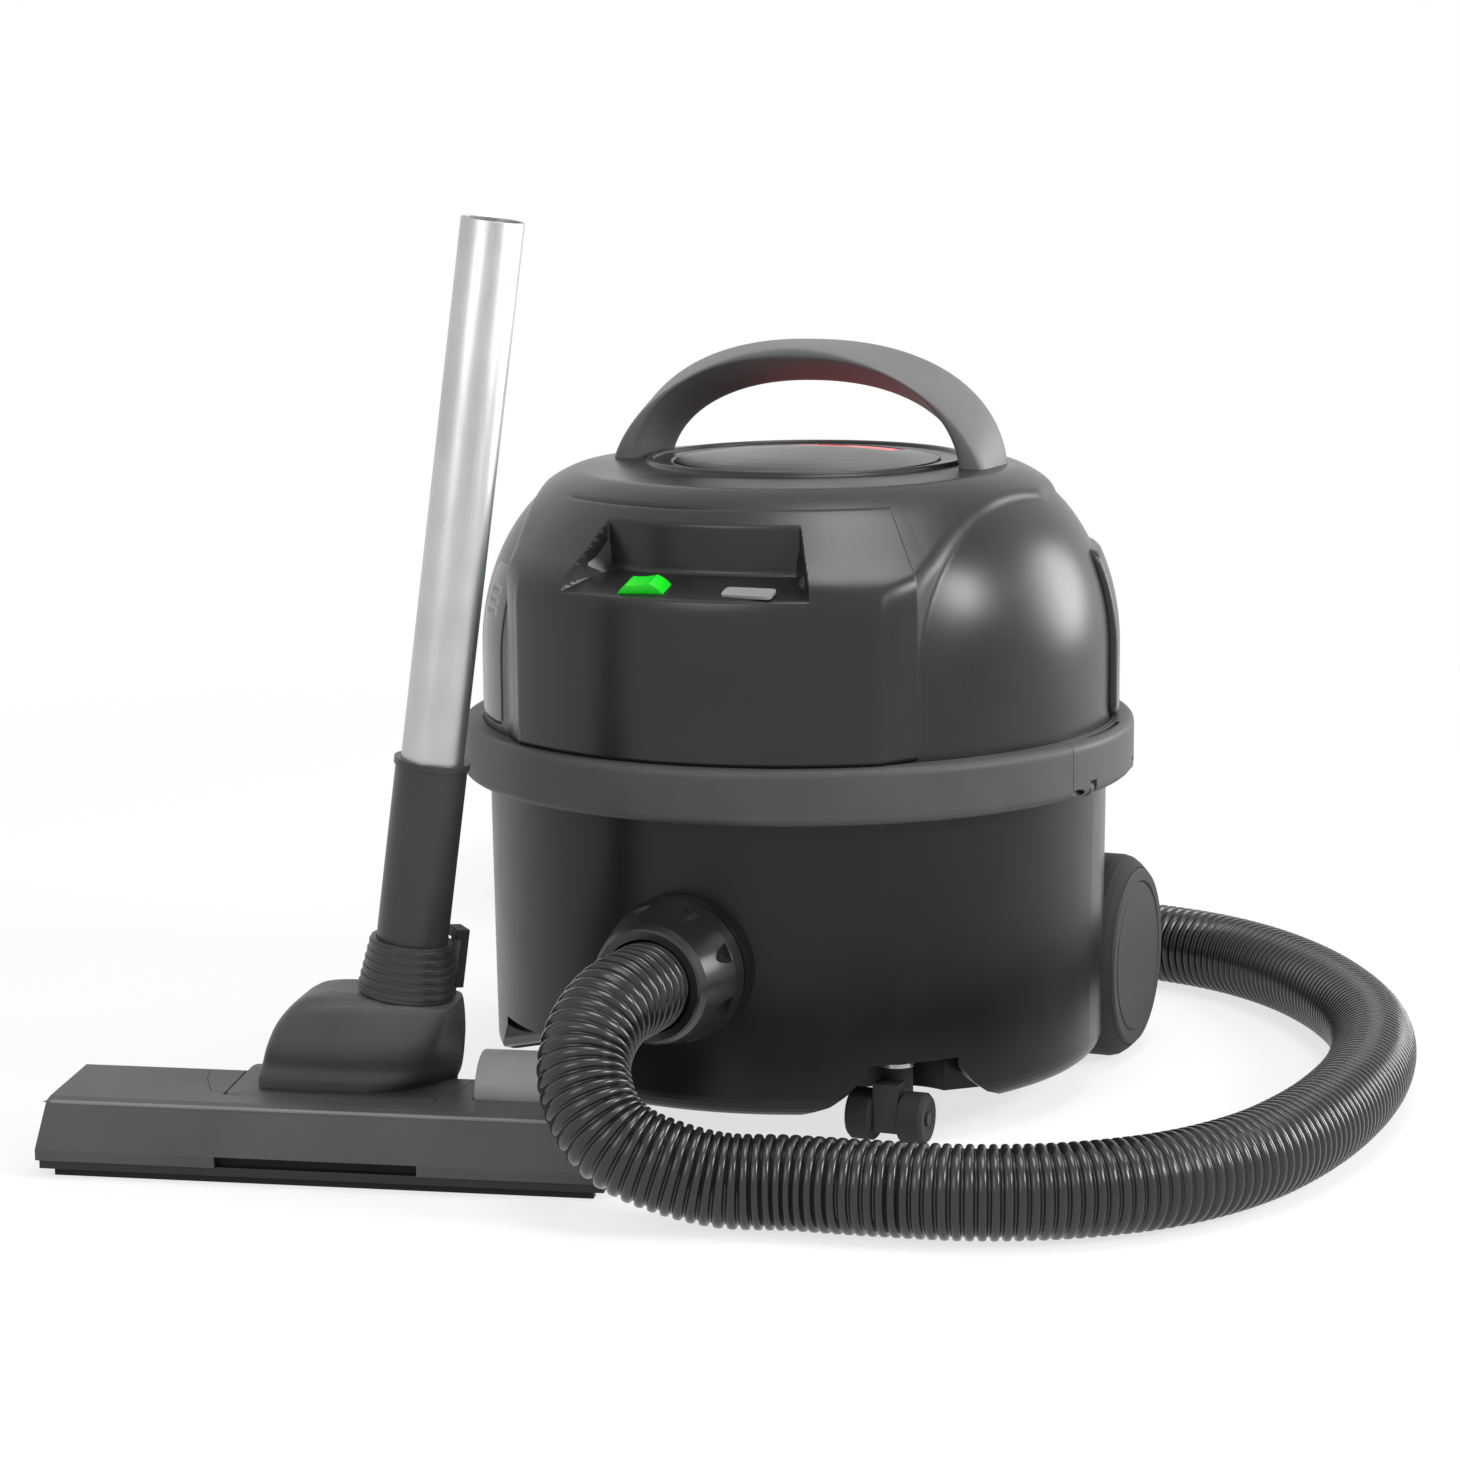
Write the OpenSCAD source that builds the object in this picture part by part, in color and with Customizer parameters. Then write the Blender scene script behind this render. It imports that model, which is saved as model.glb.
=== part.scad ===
// Tub vacuum cleaner: steerable canister with a lift-off motor head, a hand-wound cable
// drum under the carry handle, a ribbed hose, and a floor tool with a short metal wand.
// Everything is drawn around the tub axis, front towards -Y, wheels on Z = 0, and is then
// shifted so that the origin is the bottom centre of the whole set.

/* [Tub] */
// Outer radius of the tub wall at the rim
tub_r = 149.3; // [140:0.5:150]
// How much narrower the wall is just above the bottom edge
tub_draft = 1.4; // [0:0.2:3]
// Wall thickness of the tub
tub_wall = 3; // [2.5:0.5:4]
// Ground clearance under the tub
tub_clear = 16; // [13:1:20]
// Radius of the rounded bottom edge
tub_edge_r = 9; // [6:1:12]
// Height of the tub rim above the floor
rim_z = 166; // [160:1:172]

/* [Bumper ring and latches] */
// How far the bumper ring stands out beyond the dome wall
ring_out = 10.5; // [9:0.5:13]
// Height of the bumper ring
ring_h = 26; // [24:1:30]
// Corner radius of the ring section
ring_corner = 4; // [3:0.5:4.5]
// Middle of each latch, measured round from the front, in degrees
latch_mid = 90; // [86:1:94]
// Angle that each latch takes out of the ring, in degrees
latch_span = 36; // [30:1:40]
// Diameter of the latch hinge pin
latch_pin_d = 3; // [2.5:0.1:3.2]

/* [Motor head] */
// How far the dome wall stands out beyond the tub wall
dome_out = 2.7; // [2:0.1:3.7]
// Height of the flat top of the dome above the floor
dome_top_z = 300.5; // [296:0.5:306]
// Dome wall thickness
dome_wall = 3; // [2.5:0.5:3.5]
// How far the control hood's front wall stands out beyond the dome wall
hood_out = 5; // [4:0.5:5.5]
// Height of the hood's front edge above the floor
hood_edge_z = 254; // [250:1:258]
// Half width of the hood at its front wall
hood_half_w = 91.5; // [86:0.5:96]
// Half width of the control recess along its lower edge
recess_low_w = 61; // [56:1:66]
// Half width of the control recess along its upper edge
recess_top_w = 47.5; // [42:0.5:50]
// Depth of the rear cover outside the dome
rear_cover_t = 4; // [3:0.5:5]

/* [Handle] */
// Half span of the carry handle over its feet
handle_half = 97; // [94:0.5:99]
// Height of the top of the carry handle above the floor
handle_top_z = 358.5; // [352:0.5:366]
// Width of the grip from front to back
handle_depth = 36; // [32:1:40]
// Distance of the handle and the winder behind the tub axis
top_set_back = 15; // [12:1:17]

/* [Cable winder] */
// Radius of the winder disc in the top of the dome
disc_r = 64; // [60:0.5:66]
// Radius of the raised rim round the disc
rim_ring_r = 78; // [75:0.5:80]
// Radius of the cable drum's flanges
drum_r = 60; // [54:1:62]
// Width of the drum between its flanges
drum_w = 24; // [18:1:26]
// Diameter of the post that the drum turns on
post_d = 20; // [16:1:24]

/* [Motor and filter] */
// Radius of the fan housing
fan_r = 64; // [56:1:70]
// Radius of the motor can
motor_r = 42; // [36:1:46]
// Diameter of the motor shaft
shaft_d = 8; // [6:1:10]
// Radius of the filter frame under the deck
filter_r = 108; // [100:1:114]
// Depth of the cloth filter below its frame
filter_drop = 44; // [36:1:46]

/* [Rear wheels] */
// Radius of the rear tyres
wheel_r = 50.3; // [47:0.1:52]
// Distance of the rear axle behind the tub axis
axle_y = 84.6; // [80:0.1:88]
// How far the wheel caps' outer faces stand inside the tub's radius
cap_in = 1.3; // [0.3:0.1:3.3]
// Width of a rear wheel
wheel_w = 26; // [23:0.5:26]
// Radius of the wheel caps
cap_r = 43.9; // [40:0.1:45]
// Diameter of the rear axle
axle_d = 10; // [8:0.5:12]

/* [Castors] */
// How far the castor stems stand inside the tub wall
castor_in = 22.5; // [21.5:0.5:24]
// Angle of the castor stems, measured round from the front, in degrees
castor_turn = 41.5; // [40:0.5:43]
// Radius of the castor wheels
castor_r = 12; // [11:0.5:13]
// Width of one castor wheel
castor_w = 13; // [11:0.5:14]
// Trail of the castor wheels from their stem
castor_trail = 9; // [7:0.5:10]
// Diameter of the castor stems
stem_d = 8; // [7:0.5:9]

/* [Hose] */
// Outer diameter over the ribs of the hose
hose_d = 41; // [38:0.5:42]
// Bore of the hose
hose_bore_d = 32; // [28:1:33]
// Height of the inlet above the floor
inlet_z = 86; // [84:1:90]
// Outer radius of the inlet flange
flange_r = 33.7; // [32:0.1:36]
// Length of the scalloped collar in front of the flange
collar_len = 36; // [30:1:40]
// Radius of the collar's mouth
collar_mouth_r = 26; // [25:0.5:28]

/* [Floor tool] */
// Width of the floor tool
tool_w = 262; // [240:1:280]
// Depth of the floor tool from front to back
tool_depth = 72; // [66:1:76]
// Height of the floor tool's cover
tool_h = 38; // [35:1:42]
// Outer diameter of the wand
wand_d = 28; // [26:0.5:30]
// Wall thickness of the wand
wand_wall = 1; // [0.8:0.1:1.5]
// Length of the wand
wand_len = 322; // [250:5:500]
// Sideways lean of the neck and wand, in degrees
wand_lean = 7.8; // [5:0.1:10]
// Free travel of the brush strip
brush_travel = 5; // [3:0.5:6]

/* [Hidden] */
$fn = 72;
eps = 0.01;

// Clearances
run_gap = 0.05;   // round parts that turn in or on each other
slip_gap = 0.3;   // moulded parts of different bodies
seat_gap = 0.25;  // moulded parts beside each other in one body

// Radii and places that follow the tub wall
dome_r = tub_r + dome_out;
ring_r = dome_r + ring_out;
hood_r = dome_r + hood_out;
wheel_face_x = tub_r - cap_in;
castor_x = (tub_r - castor_in) * sin(castor_turn);
castor_y = (tub_r - castor_in) * cos(castor_turn);

// Heights that several parts share
ring_top_z = rim_z + 14;
ring_low_z = ring_top_z - ring_h;
ring_lip_t = 3;
lip_top_z = rim_z + ring_lip_t;
seal_t = 2;
deck_low_z = lip_top_z + seal_t;
deck_t = 4;
deck_top_z = deck_low_z + deck_t;
dome_low_z = lip_top_z + slip_gap;
inner_r = tub_r - tub_wall;
lip_r = inner_r - 3;
deck_r = dome_r - dome_wall - seat_gap;

// Whole-set centre, so that the origin is the bottom centre of the box round it
tool_pos = [-129.5, -257.5];
tool_yaw = 11.4;
tool_front = 8;   // how far the cover reaches in front of the brush line
tool_corner = 14; // radius of the cover's rear corners in plan
tool_back = tool_depth - tool_front;
function turned(p, a) = [p[0] * cos(a) - p[1] * sin(a), p[0] * sin(a) + p[1] * cos(a)];
rear_left = turned([-tool_w / 2 + tool_corner, tool_back - tool_corner], tool_yaw);
front_left = turned([-tool_w / 2, -tool_front], tool_yaw);
low_x = tool_pos[0] + rear_left[0] - tool_corner;
low_y = tool_pos[1] + front_left[1];
centre_x = (low_x + ring_r) / 2;
centre_y = (low_y + ring_r) / 2;

// ---------------------------------------------------------------- helpers

module place() translate([-centre_x, -centre_y, 0]) children();
module place_tool() place() translate([tool_pos[0], tool_pos[1], 0]) rotate(tool_yaw) children();
module mirrored(side) if (side > 0) children(); else mirror([1, 0, 0]) children();

// A cylinder along X from x0 to x1, through the point (y, z)
module rod_x(x0, x1, r, y = 0, z = 0) translate([x0, y, z]) rotate([0, 90, 0]) cylinder(r = r, h = x1 - x0);
// A cylinder along Y from y0 to y1, through the point (x, z)
module rod_y(y0, y1, r, x = 0, z = 0) translate([x, y0, z]) rotate([-90, 0, 0]) cylinder(r = r, h = y1 - y0);
// A ring between two radii, standing on z
module ring(r_out, r_in, z, h) translate([0, 0, z]) difference() {
    cylinder(r = r_out, h = h);
    translate([0, 0, -1]) cylinder(r = r_in, h = h + 2);
}
// A wedge of the plane round the Z axis; angles are measured from the front (-Y) towards +X
module wedge(a0, a1, z0, z1, reach = 260) translate([0, 0, z0]) linear_extrude(z1 - z0)
    polygon(concat([[0, 0]], [for (i = [0:8]) let (a = a0 + (a1 - a0) * i / 8) [reach * sin(a), -reach * cos(a)]]));
// A rounded rectangle in the plane
module rounded(w, d, r) {
    square([w - 2 * r, d], center = true);
    square([w, d - 2 * r], center = true);
    for (sx = [-1, 1], sy = [-1, 1]) translate([sx * (w / 2 - r), sy * (d / 2 - r)]) circle(r = r);
}
function bezier(p, t) = (1 - t) ^ 3 * p[0] + 3 * t * (1 - t) ^ 2 * p[1] + 3 * t * t * (1 - t) * p[2] + t ^ 3 * p[3];
function curve(p, n, from = 0) = [for (i = [from:n]) bezier(p, i / n)];

// ---------------------------------------------------------------- tub

bottom_r = tub_r - tub_draft;
block_w = castor_w - 1;
sweep_r = sqrt((castor_trail + castor_r) ^ 2 + (block_w / 2 + castor_w) ^ 2);
pocket_r = sweep_r + 1.6;
pocket_top = 2 * castor_r + 16;
well_x = wheel_face_x - wheel_w - 3;
well_r = wheel_r + 3.5;
stem_boss_r = stem_d / 2 + 4;
stem_boss_low = 2 * castor_r + 12.3;
stem_boss_h = 28;
arch_depth = 33;                     // how far the arched opening reaches in from the wall
inlet_hole_r = hose_d / 2 + 4.5;
tunnel_r = axle_d / 2 + 4;

module tub_profile(inset, low, high) {
    e = max(tub_edge_r - inset, 1);
    base = bottom_r - inset;
    polygon(concat(
        [[0, low]],
        [for (i = [0:6]) [base - e + e * sin(i * 15), low + e - e * cos(i * 15)]],
        [[tub_r - inset, rim_z - 12], [tub_r - inset, high], [0, high]]));
}
module castor_places() for (s = [-1, 1]) translate([s * castor_x, -castor_y, 0]) children();
module wheel_wells(grow, start) for (s = [-1, 1]) mirrored(s) {
    rod_x(start, 200, well_r + grow, axle_y, wheel_r);
    translate([start, axle_y - well_r - grow + 1, -1]) cube([100, 2 * (well_r + grow - 1), wheel_r + 1]);
}
module tub_shell() difference() {
    rotate_extrude() tub_profile(0, tub_clear, rim_z);
    rotate_extrude() tub_profile(tub_wall, tub_clear + tub_wall, rim_z + 1);
}
// Pocket walls, wheel housings, stem sockets and the axle tunnel, cut to the tub's inside
module tub_inside() intersection() {
    rotate_extrude() tub_profile(tub_wall / 2, tub_clear + tub_wall / 2, rim_z - 5);
    union() {
        castor_places() cylinder(r = pocket_r + tub_wall, h = pocket_top + tub_wall);
        castor_places() cylinder(r = stem_boss_r, h = stem_boss_low + stem_boss_h);
        for (s = [-1, 1]) castor_arch(s, tub_wall);
        wheel_wells(tub_wall, well_x - tub_wall);
        rod_x(-well_x - 1, well_x + 1, tunnel_r, axle_y, wheel_r);
    }
}
// Bell-shaped opening in the wall in front of each castor, with a housing behind it
module castor_arch(s, grow) rotate(s * atan2(castor_x, castor_y)) translate([0, -tub_r - 20, 0])
    rotate([90, 0, 180]) linear_extrude(20 + arch_depth + grow) polygon([
        [-52 - grow, 0], [-49 - grow, tub_clear + 1 + grow], [-39 - grow, tub_clear + 5 + grow],
        [-31 - grow, tub_clear + 11 + grow], [-24 - grow, tub_clear + 19 + grow],
        [24 + grow, tub_clear + 19 + grow], [31 + grow, tub_clear + 11 + grow],
        [39 + grow, tub_clear + 5 + grow], [49 + grow, tub_clear + 1 + grow], [52 + grow, 0]]);
module tub() place() color("#262626") difference() {
    union() {
        difference() {
            union() {
                tub_shell();
                tub_inside();
            }
            castor_places() translate([0, 0, -1]) cylinder(r = pocket_r, h = pocket_top + 1);
            for (s = [-1, 1]) castor_arch(s, 0);
            wheel_wells(0, well_x);
        }
        castor_places() translate([0, 0, stem_boss_low])
            cylinder(r = stem_boss_r, h = pocket_top - stem_boss_low + 1);
    }
    castor_places() translate([0, 0, stem_boss_low - 1]) cylinder(d = stem_d + 2 * run_gap, h = stem_boss_h - 2);
    rod_x(-200, 200, axle_d / 2, axle_y, wheel_r);
    rod_y(-200, -100, inlet_hole_r, 0, inlet_z);
}

// ---------------------------------------------------------------- bumper ring and latches

skin_r = dome_r + slip_gap;          // ring wall that stays behind the latches
latch_in_r = skin_r + 1.6;
hinge_r = ring_r - 7;                // latch hinge line, at its middle
hinge_z = ring_low_z + 3;
swing_r = latch_in_r - 1.9;          // the ring is cut back to here behind the latch's foot
ear_x = 30;
ear_w = 5;

module ring_section(r_in) {
    c = ring_corner;
    polygon(concat(
        [[r_in, ring_low_z]],
        [for (i = [0:6]) [ring_r - c + c * sin(i * 15), ring_low_z + c - c * cos(i * 15)]],
        [for (i = [0:6]) [ring_r - c + c * cos(i * 15), ring_top_z - c + c * sin(i * 15)]],
        [[r_in, ring_top_z]]));
}
module at_latch(side) rotate(side * latch_mid) translate([0, -hinge_r, hinge_z]) children();
ear_r = 3.3;
module latch_ears(grow) for (s = [-1, 1]) translate([s * (ear_x + ear_w / 2), 0, 0]) {
    rod_x(-ear_w / 2 - grow, ear_w / 2 + grow, ear_r + grow);
    translate([-ear_w / 2 - grow, 0, -3]) cube([ear_w + 2 * grow, 9, ear_r + 3 + grow]);
}
module bumper_ring() place() color("#4c4c4e") difference() {
    union() {
        difference() {
            rotate_extrude($fn = 96) difference() {
                ring_section(lip_r);
                translate([0, ring_low_z - 1]) square([tub_r + slip_gap, rim_z - ring_low_z + 1]);
                translate([0, lip_top_z]) square([skin_r, 50]);
            }
            for (s = [-1, 1]) intersection() {
                wedge(s * latch_mid - latch_span / 2, s * latch_mid + latch_span / 2, ring_low_z - 1, ring_top_z + 1);
                union() {
                    ring(ring_r + 5, latch_in_r - slip_gap, ring_low_z - 1, ring_h + 2);
                    ring(ring_r + 5, swing_r, ring_low_z - 1, 8);
                }
            }
        }
        for (s = [-1, 1]) at_latch(s) latch_ears(0);
    }
    for (s = [-1, 1]) at_latch(s) rod_x(-50, 50, latch_pin_d / 2);
    ring(skin_r - 0.1, lip_r - 1, lip_top_z, 30);
    ring(tub_r + slip_gap - 0.1, 20, ring_low_z - 10, rim_z - ring_low_z + 10);
}
module latch_pins() place() color("#b8b8bc")
    for (s = [-1, 1]) at_latch(s) rod_x(-ear_x - ear_w, ear_x + ear_w, latch_pin_d / 2);
module latch(side) place() color("#4c4c4e") difference() {
    intersection() {
        rotate_extrude($fn = 96) difference() {
            ring_section(latch_in_r);
            translate([0, 0]) square([latch_in_r, 400]);
        }
        wedge(side * latch_mid - latch_span / 2 + 0.15, side * latch_mid + latch_span / 2 - 0.15,
              ring_low_z - 1, ring_top_z + 1);
    }
    at_latch(side) {
        latch_ears(0.5);
        for (s = [-1, 1]) translate([s * (ear_x + ear_w / 2) - ear_w / 2 - 0.5, -12, -8])
            cube([ear_w + 1, 12, 12]);
        rod_x(-60, 60, latch_pin_d / 2 + run_gap);
    }
    intersection() {
        ring(slot_r + 1.3, slot_r - 1.3, ring_top_z - 6, 10);
        wedge(side * 80, side * 96.5, ring_top_z - 8, ring_top_z + 8);
    }
}
slot_r = ring_r - ring_corner - 1.7;
module latch_left() latch(-1);
module latch_right() latch(1);

// ---------------------------------------------------------------- inlet and hose

port_face = tub_r + 8;               // front face of the port, before -Y
collar_gap = slip_gap;
spigot_in = tub_r - 30;              // inner end of the port, inside the tub

module inlet_port() place() color("#1d1d1f") difference() {
    union() {
        difference() {
            rod_y(-port_face + 2, -tub_r + 12, flange_r, 0, inlet_z);
            translate([0, 0, inlet_z - 60]) cylinder(r = tub_r + 0.05, h = 120);
        }
        rod_y(-port_face, -spigot_in, inlet_hole_r - 0.1, 0, inlet_z);
    }
    rod_y(-port_face - 1, -spigot_in + 1, hose_bore_d / 2, 0, inlet_z);
}
module hose_collar() place() color("#141416") {
    y0 = -port_face + 2 - collar_gap;
    difference() {
        translate([0, y0, inlet_z]) rotate([90, 0, 0]) rotate_extrude() polygon([
            [inlet_hole_r + 0.4, 0], [flange_r - 1, 0], [flange_r, 2], [flange_r - 1.2, 9],
            [collar_mouth_r + 1.5, collar_len - 5], [collar_mouth_r, collar_len - 1], [collar_mouth_r - 1, collar_len],
            [hose_d / 2 + 1, collar_len], [hose_d / 2 + 1, 6], [inlet_hole_r + 0.4, 3]]);
        translate([0, 0, inlet_z]) for (i = [0:7]) rotate([0, i * 45 + 22.5, 0])
            rod_y(y0 - collar_len - 2, y0 - 10, 7, flange_r + 3.2, 0);
    }
}

// Route of the hose, from the port's face, round the front and the right side, to a loop
// that lies behind the tub. Points are hand picked, on the floor at half a diameter.
lie = 20.5;
route = [
    [0, -199, 86], [-3, -221, 84], [-5, -238, 76], [-4, -251, 64], [3, -260, 50], [15, -264, 37],
    [33, -262, 28], [60, -255, 21], [90, -247, lie], [128, -242, lie], [168, -234, lie],
    [206, -216, lie], [239, -187, lie], [262, -148, lie], [275, -102, lie], [281, -52, lie],
    [281, 0, lie], [274, 52, lie], [260, 99, lie], [239, 141, lie], [214, 177, lie], [187, 205, lie],
    [157, 226, lie], [124, 239, lie], [88, 245, lie], [50, 244, lie], [10, 238, lie], [-75, 230, lie],
    [-130, 224, lie], [-182, 232, lie], [-230, 254, lie], [-268, 289, lie], [-294, 333, lie],
    [-307, 384, lie], [-308, 437, lie], [-297, 489, lie], [-275, 537, lie], [-243, 577, lie],
    [-202, 607, lie], [-155, 626, lie]
];
hose_far = [-108, 638, lie];
hose_start = [0, -port_face - slip_gap, inlet_z];
end_dir = (hose_far - route[len(route) - 1]) / norm(hose_far - route[len(route) - 1]);
route_all = concat([hose_start], route, [hose_far]);

function unit(v) = v / norm(v);
function catmull(a, b, c, d, t) = 0.5 * ((2 * b) + (c - a) * t + (2 * a - 5 * b + 4 * c - d) * t * t
    + (3 * b - a - 3 * c + d) * t ^ 3);
function pick(i) = i < 0 ? route_all[0] - (route_all[1] - route_all[0]) * 0.2
    : i >= len(route_all) ? route_all[len(route_all) - 1] * 2 - route_all[len(route_all) - 2]
    : route_all[i];
steps = 8;
fine = [for (i = [0:len(route_all) - 2], k = [0:steps - 1]) catmull(pick(i - 1), pick(i), pick(i + 1), pick(i + 2), k / steps),
        hose_far];
function run(p, i = 0, s = 0, out = []) = i == len(p) ? out
    : run(p, i + 1, s + (i + 1 < len(p) ? norm(p[i + 1] - p[i]) : 0), concat(out, [s]));
along = run(fine);
hose_len = along[len(along) - 1];
function at_len(s) = let (i = seek(s, 0, len(along) - 1), f = (s - along[i]) / (along[i + 1] - along[i]))
    fine[i] * (1 - f) + fine[i + 1] * f;
function seek(s, lo, hi) = hi - lo <= 1 ? lo : let (m = floor((lo + hi) / 2)) along[m] <= s ? seek(s, m, hi) : seek(s, lo, m);
// Least gap of the hose to itself, between points at least seven steps apart
gap_step = 20;
gap_pts = [for (s = [0:gap_step:hose_len]) at_len(s)];
least_gap = min([for (i = [0:len(gap_pts) - 8], j = [i + 7:len(gap_pts) - 1]) norm(gap_pts[i] - gap_pts[j])]) - hose_d;
echo(hose_len = hose_len, least_gap = least_gap);
function heading(s) = unit(at_len(min(s + 2, hose_len - 0.001)) - at_len(max(s - 2, 0)));
// Rings of points round the route; the side vector is carried along, so the tube never twists
marks = 240;
function carry(i, v, out = []) = i > marks ? out
    : let (t = heading(hose_len * i / marks), w = unit(v - (v * t) * t)) carry(i + 1, w, concat(out, [w]));
side_at = carry(0, [1, 0, 0]);
function hoop(s, r, n) = let (c = at_len(min(max(s, 0), hose_len - 0.001)), t = heading(s),
    v = side_at[round(marks * s / hose_len)], side = unit(v - (v * t) * t), up = cross(side, t))
    [for (k = [0:n - 1]) c + r * (cos(360 * (k + 0.5) / n) * side + sin(360 * (k + 0.5) / n) * up)];
sides = 8;
ribs = 200;
cuff_in = 41;                        // plain straight length at each end
rib_pitch = (hose_len - 2 * cuff_in) / ribs;
rib_r = hose_d / 2;
groove_r = hose_d / 2 - 2;
bore_steps = 72;
outer_list = concat([[0, rib_r]], [for (i = [0:ribs - 1], k = [0, 1])
    [cuff_in + (i + 0.25 + 0.5 * k) * rib_pitch, k == 0 ? groove_r : rib_r]], [[hose_len, rib_r]]);
inner_list = [for (i = [0:bore_steps]) [hose_len * i / bore_steps, hose_bore_d / 2]];
outer_pts = [for (q = outer_list) for (p = hoop(q[0], q[1], sides)) p];
inner_pts = [for (q = inner_list) for (p = hoop(q[0], q[1], sides)) p];
function skin(n, base, flip) = [for (i = [0:n - 2], k = [0:sides - 1], h = [0, 1])
    let (a = base + i * sides + k, b = base + i * sides + (k + 1) % sides, c = a + sides, d = b + sides)
    h == 0 ? (flip ? [a, b, d] : [a, d, b]) : (flip ? [a, d, c] : [a, c, d])];
function rim_face(o, i, flip) = [for (k = [0:sides - 1], h = [0, 1])
    let (a = o + k, b = o + (k + 1) % sides, c = i + k, d = i + (k + 1) % sides)
    h == 0 ? (flip ? [a, d, b] : [a, b, d]) : (flip ? [a, c, d] : [a, d, c])];
n_out = len(outer_list);
n_in = len(inner_list);
base_in = n_out * sides;
module hose() place() color("#2c2c2e") polyhedron(
    points = concat(outer_pts, inner_pts),
    faces = concat(skin(n_out, 0, false), skin(n_in, base_in, true), rim_face(0, base_in, false),
        rim_face((n_out - 1) * sides, base_in + (n_in - 1) * sides, true)));

// Rigid cuff on the far end of the hose, with a socket for the wand
cuff_len = 62;
cuff_r = wand_d / 2 + 6;
cuff_gap = 0.15;                     // between the socket and the end of a wand
module hose_end_cuff() place() color("#1d1d1f") translate(hose_far) rotate([0, 90, atan2(end_dir[1], end_dir[0])])
    translate([0, 0, slip_gap]) difference() {
        union() {
            cylinder(r = cuff_r + 0.4, h = 16);
            cylinder(r = cuff_r - 0.6, h = cuff_len);
            translate([0, 0, cuff_len - 6]) cylinder(r = cuff_r + 0.4, h = 6);
        }
        translate([0, 0, -1]) cylinder(d = wand_d - 4, h = cuff_len + 2);
        translate([0, 0, 20]) cylinder(d = wand_d - 2 * end_in + 2 * cuff_gap, h = cuff_len);
    }

// ---------------------------------------------------------------- dust bag

bag_r = tub_r - 37.3;
module bag_collar() place() color("#c9b48c") difference() {
    rod_y(-spigot_in - 8, -spigot_in - 5, 42, 0, inlet_z);
    rod_y(-200, 0, inlet_hole_r + 0.05, 0, inlet_z);
}
module dust_bag() place() color("#d8d2c4") difference() {
    union() {
        translate([0, 6, 22]) intersection() {
            cylinder(r = bag_r, h = 74);
            translate([0, 0, -70]) sphere(r = bag_r + 38);
            translate([0, 0, 140]) sphere(r = bag_r + 38);
        }
        rod_y(-spigot_in - 4.7, -80, inlet_hole_r + 3, 0, inlet_z);
    }
    rod_y(-spigot_in - 9, -spigot_in + 1, inlet_hole_r + 0.3, 0, inlet_z);
    rod_x(-well_x - 1, well_x + 1, tunnel_r + 2, axle_y, wheel_r);
    for (s = [-1, 1]) mirrored(s) rod_x(well_x - tub_wall - 2, 200, well_r + tub_wall + 2, axle_y, wheel_r);
    castor_places() cylinder(r = pocket_r + tub_wall + 2, h = pocket_top + tub_wall + 2);
    castor_places() cylinder(r = stem_boss_r + 2, h = stem_boss_low + stem_boss_h + 2);
}

// ---------------------------------------------------------------- rear wheels

hub_x = wheel_face_x - wheel_w;      // inner face of the wheel
rim_r = wheel_r - 9;
cap_t = 4;
axle_end = wheel_face_x - 10;

module rear_axle() place() color("#b8b8bc") rod_x(-axle_end, axle_end, axle_d / 2, axle_y, wheel_r);
module axle_clips() place() color("#c9c9cc") for (s = [-1, 1]) mirrored(s) translate([axle_end - 3.2, axle_y, wheel_r])
    rotate([0, 90, 0]) difference() {
        cylinder(r = axle_d / 2 + 4, h = 1.5);
        translate([0, 0, -1]) cylinder(r = axle_d / 2, h = 4);
    }
module wheel(side) place() color("#202022") mirrored(side) difference() {
    rod_x(hub_x + 1, wheel_face_x - cap_t - seat_gap, rim_r, axle_y, wheel_r);
    rod_x(0, 200, axle_d / 2 + run_gap, axle_y, wheel_r);
    rod_x(axle_end - 3.2 - 0.3, 200, axle_d / 2 + 6, axle_y, wheel_r);
}
module tyre(side) place() color("#1b1b1c") mirrored(side) translate([0, axle_y, wheel_r]) rotate([0, 90, 0])
    rotate_extrude() polygon([
        [rim_r + 0.02, hub_x], [wheel_r - 3, hub_x], [wheel_r, hub_x + 3], [wheel_r, hub_x + 15],
        [wheel_r - 0.9, hub_x + 18.5], [wheel_r - 3, hub_x + 21.5], [cap_r + 0.4, wheel_face_x - 1.4],
        [cap_r + 0.2, wheel_face_x - cap_t], [rim_r + 0.02, wheel_face_x - cap_t - seat_gap]]);
module cap(side) place() color("#2b2b2d") mirrored(side) translate([0, axle_y, wheel_r]) rotate([0, 90, 0])
    rotate_extrude() polygon([
        [0, wheel_face_x - cap_t], [cap_r, wheel_face_x - cap_t], [cap_r, wheel_face_x - 1.2], [cap_r - 1.2, wheel_face_x],
        [cap_r - 6, wheel_face_x], [cap_r - 7, wheel_face_x - 1], [cap_r - 8, wheel_face_x], [0, wheel_face_x]]);
module wheel_left() wheel(-1);
module wheel_right() wheel(1);
module tyre_left() tyre(-1);
module tyre_right() tyre(1);
module cap_left() cap(-1);
module cap_right() cap(1);

// ---------------------------------------------------------------- castors

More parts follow.
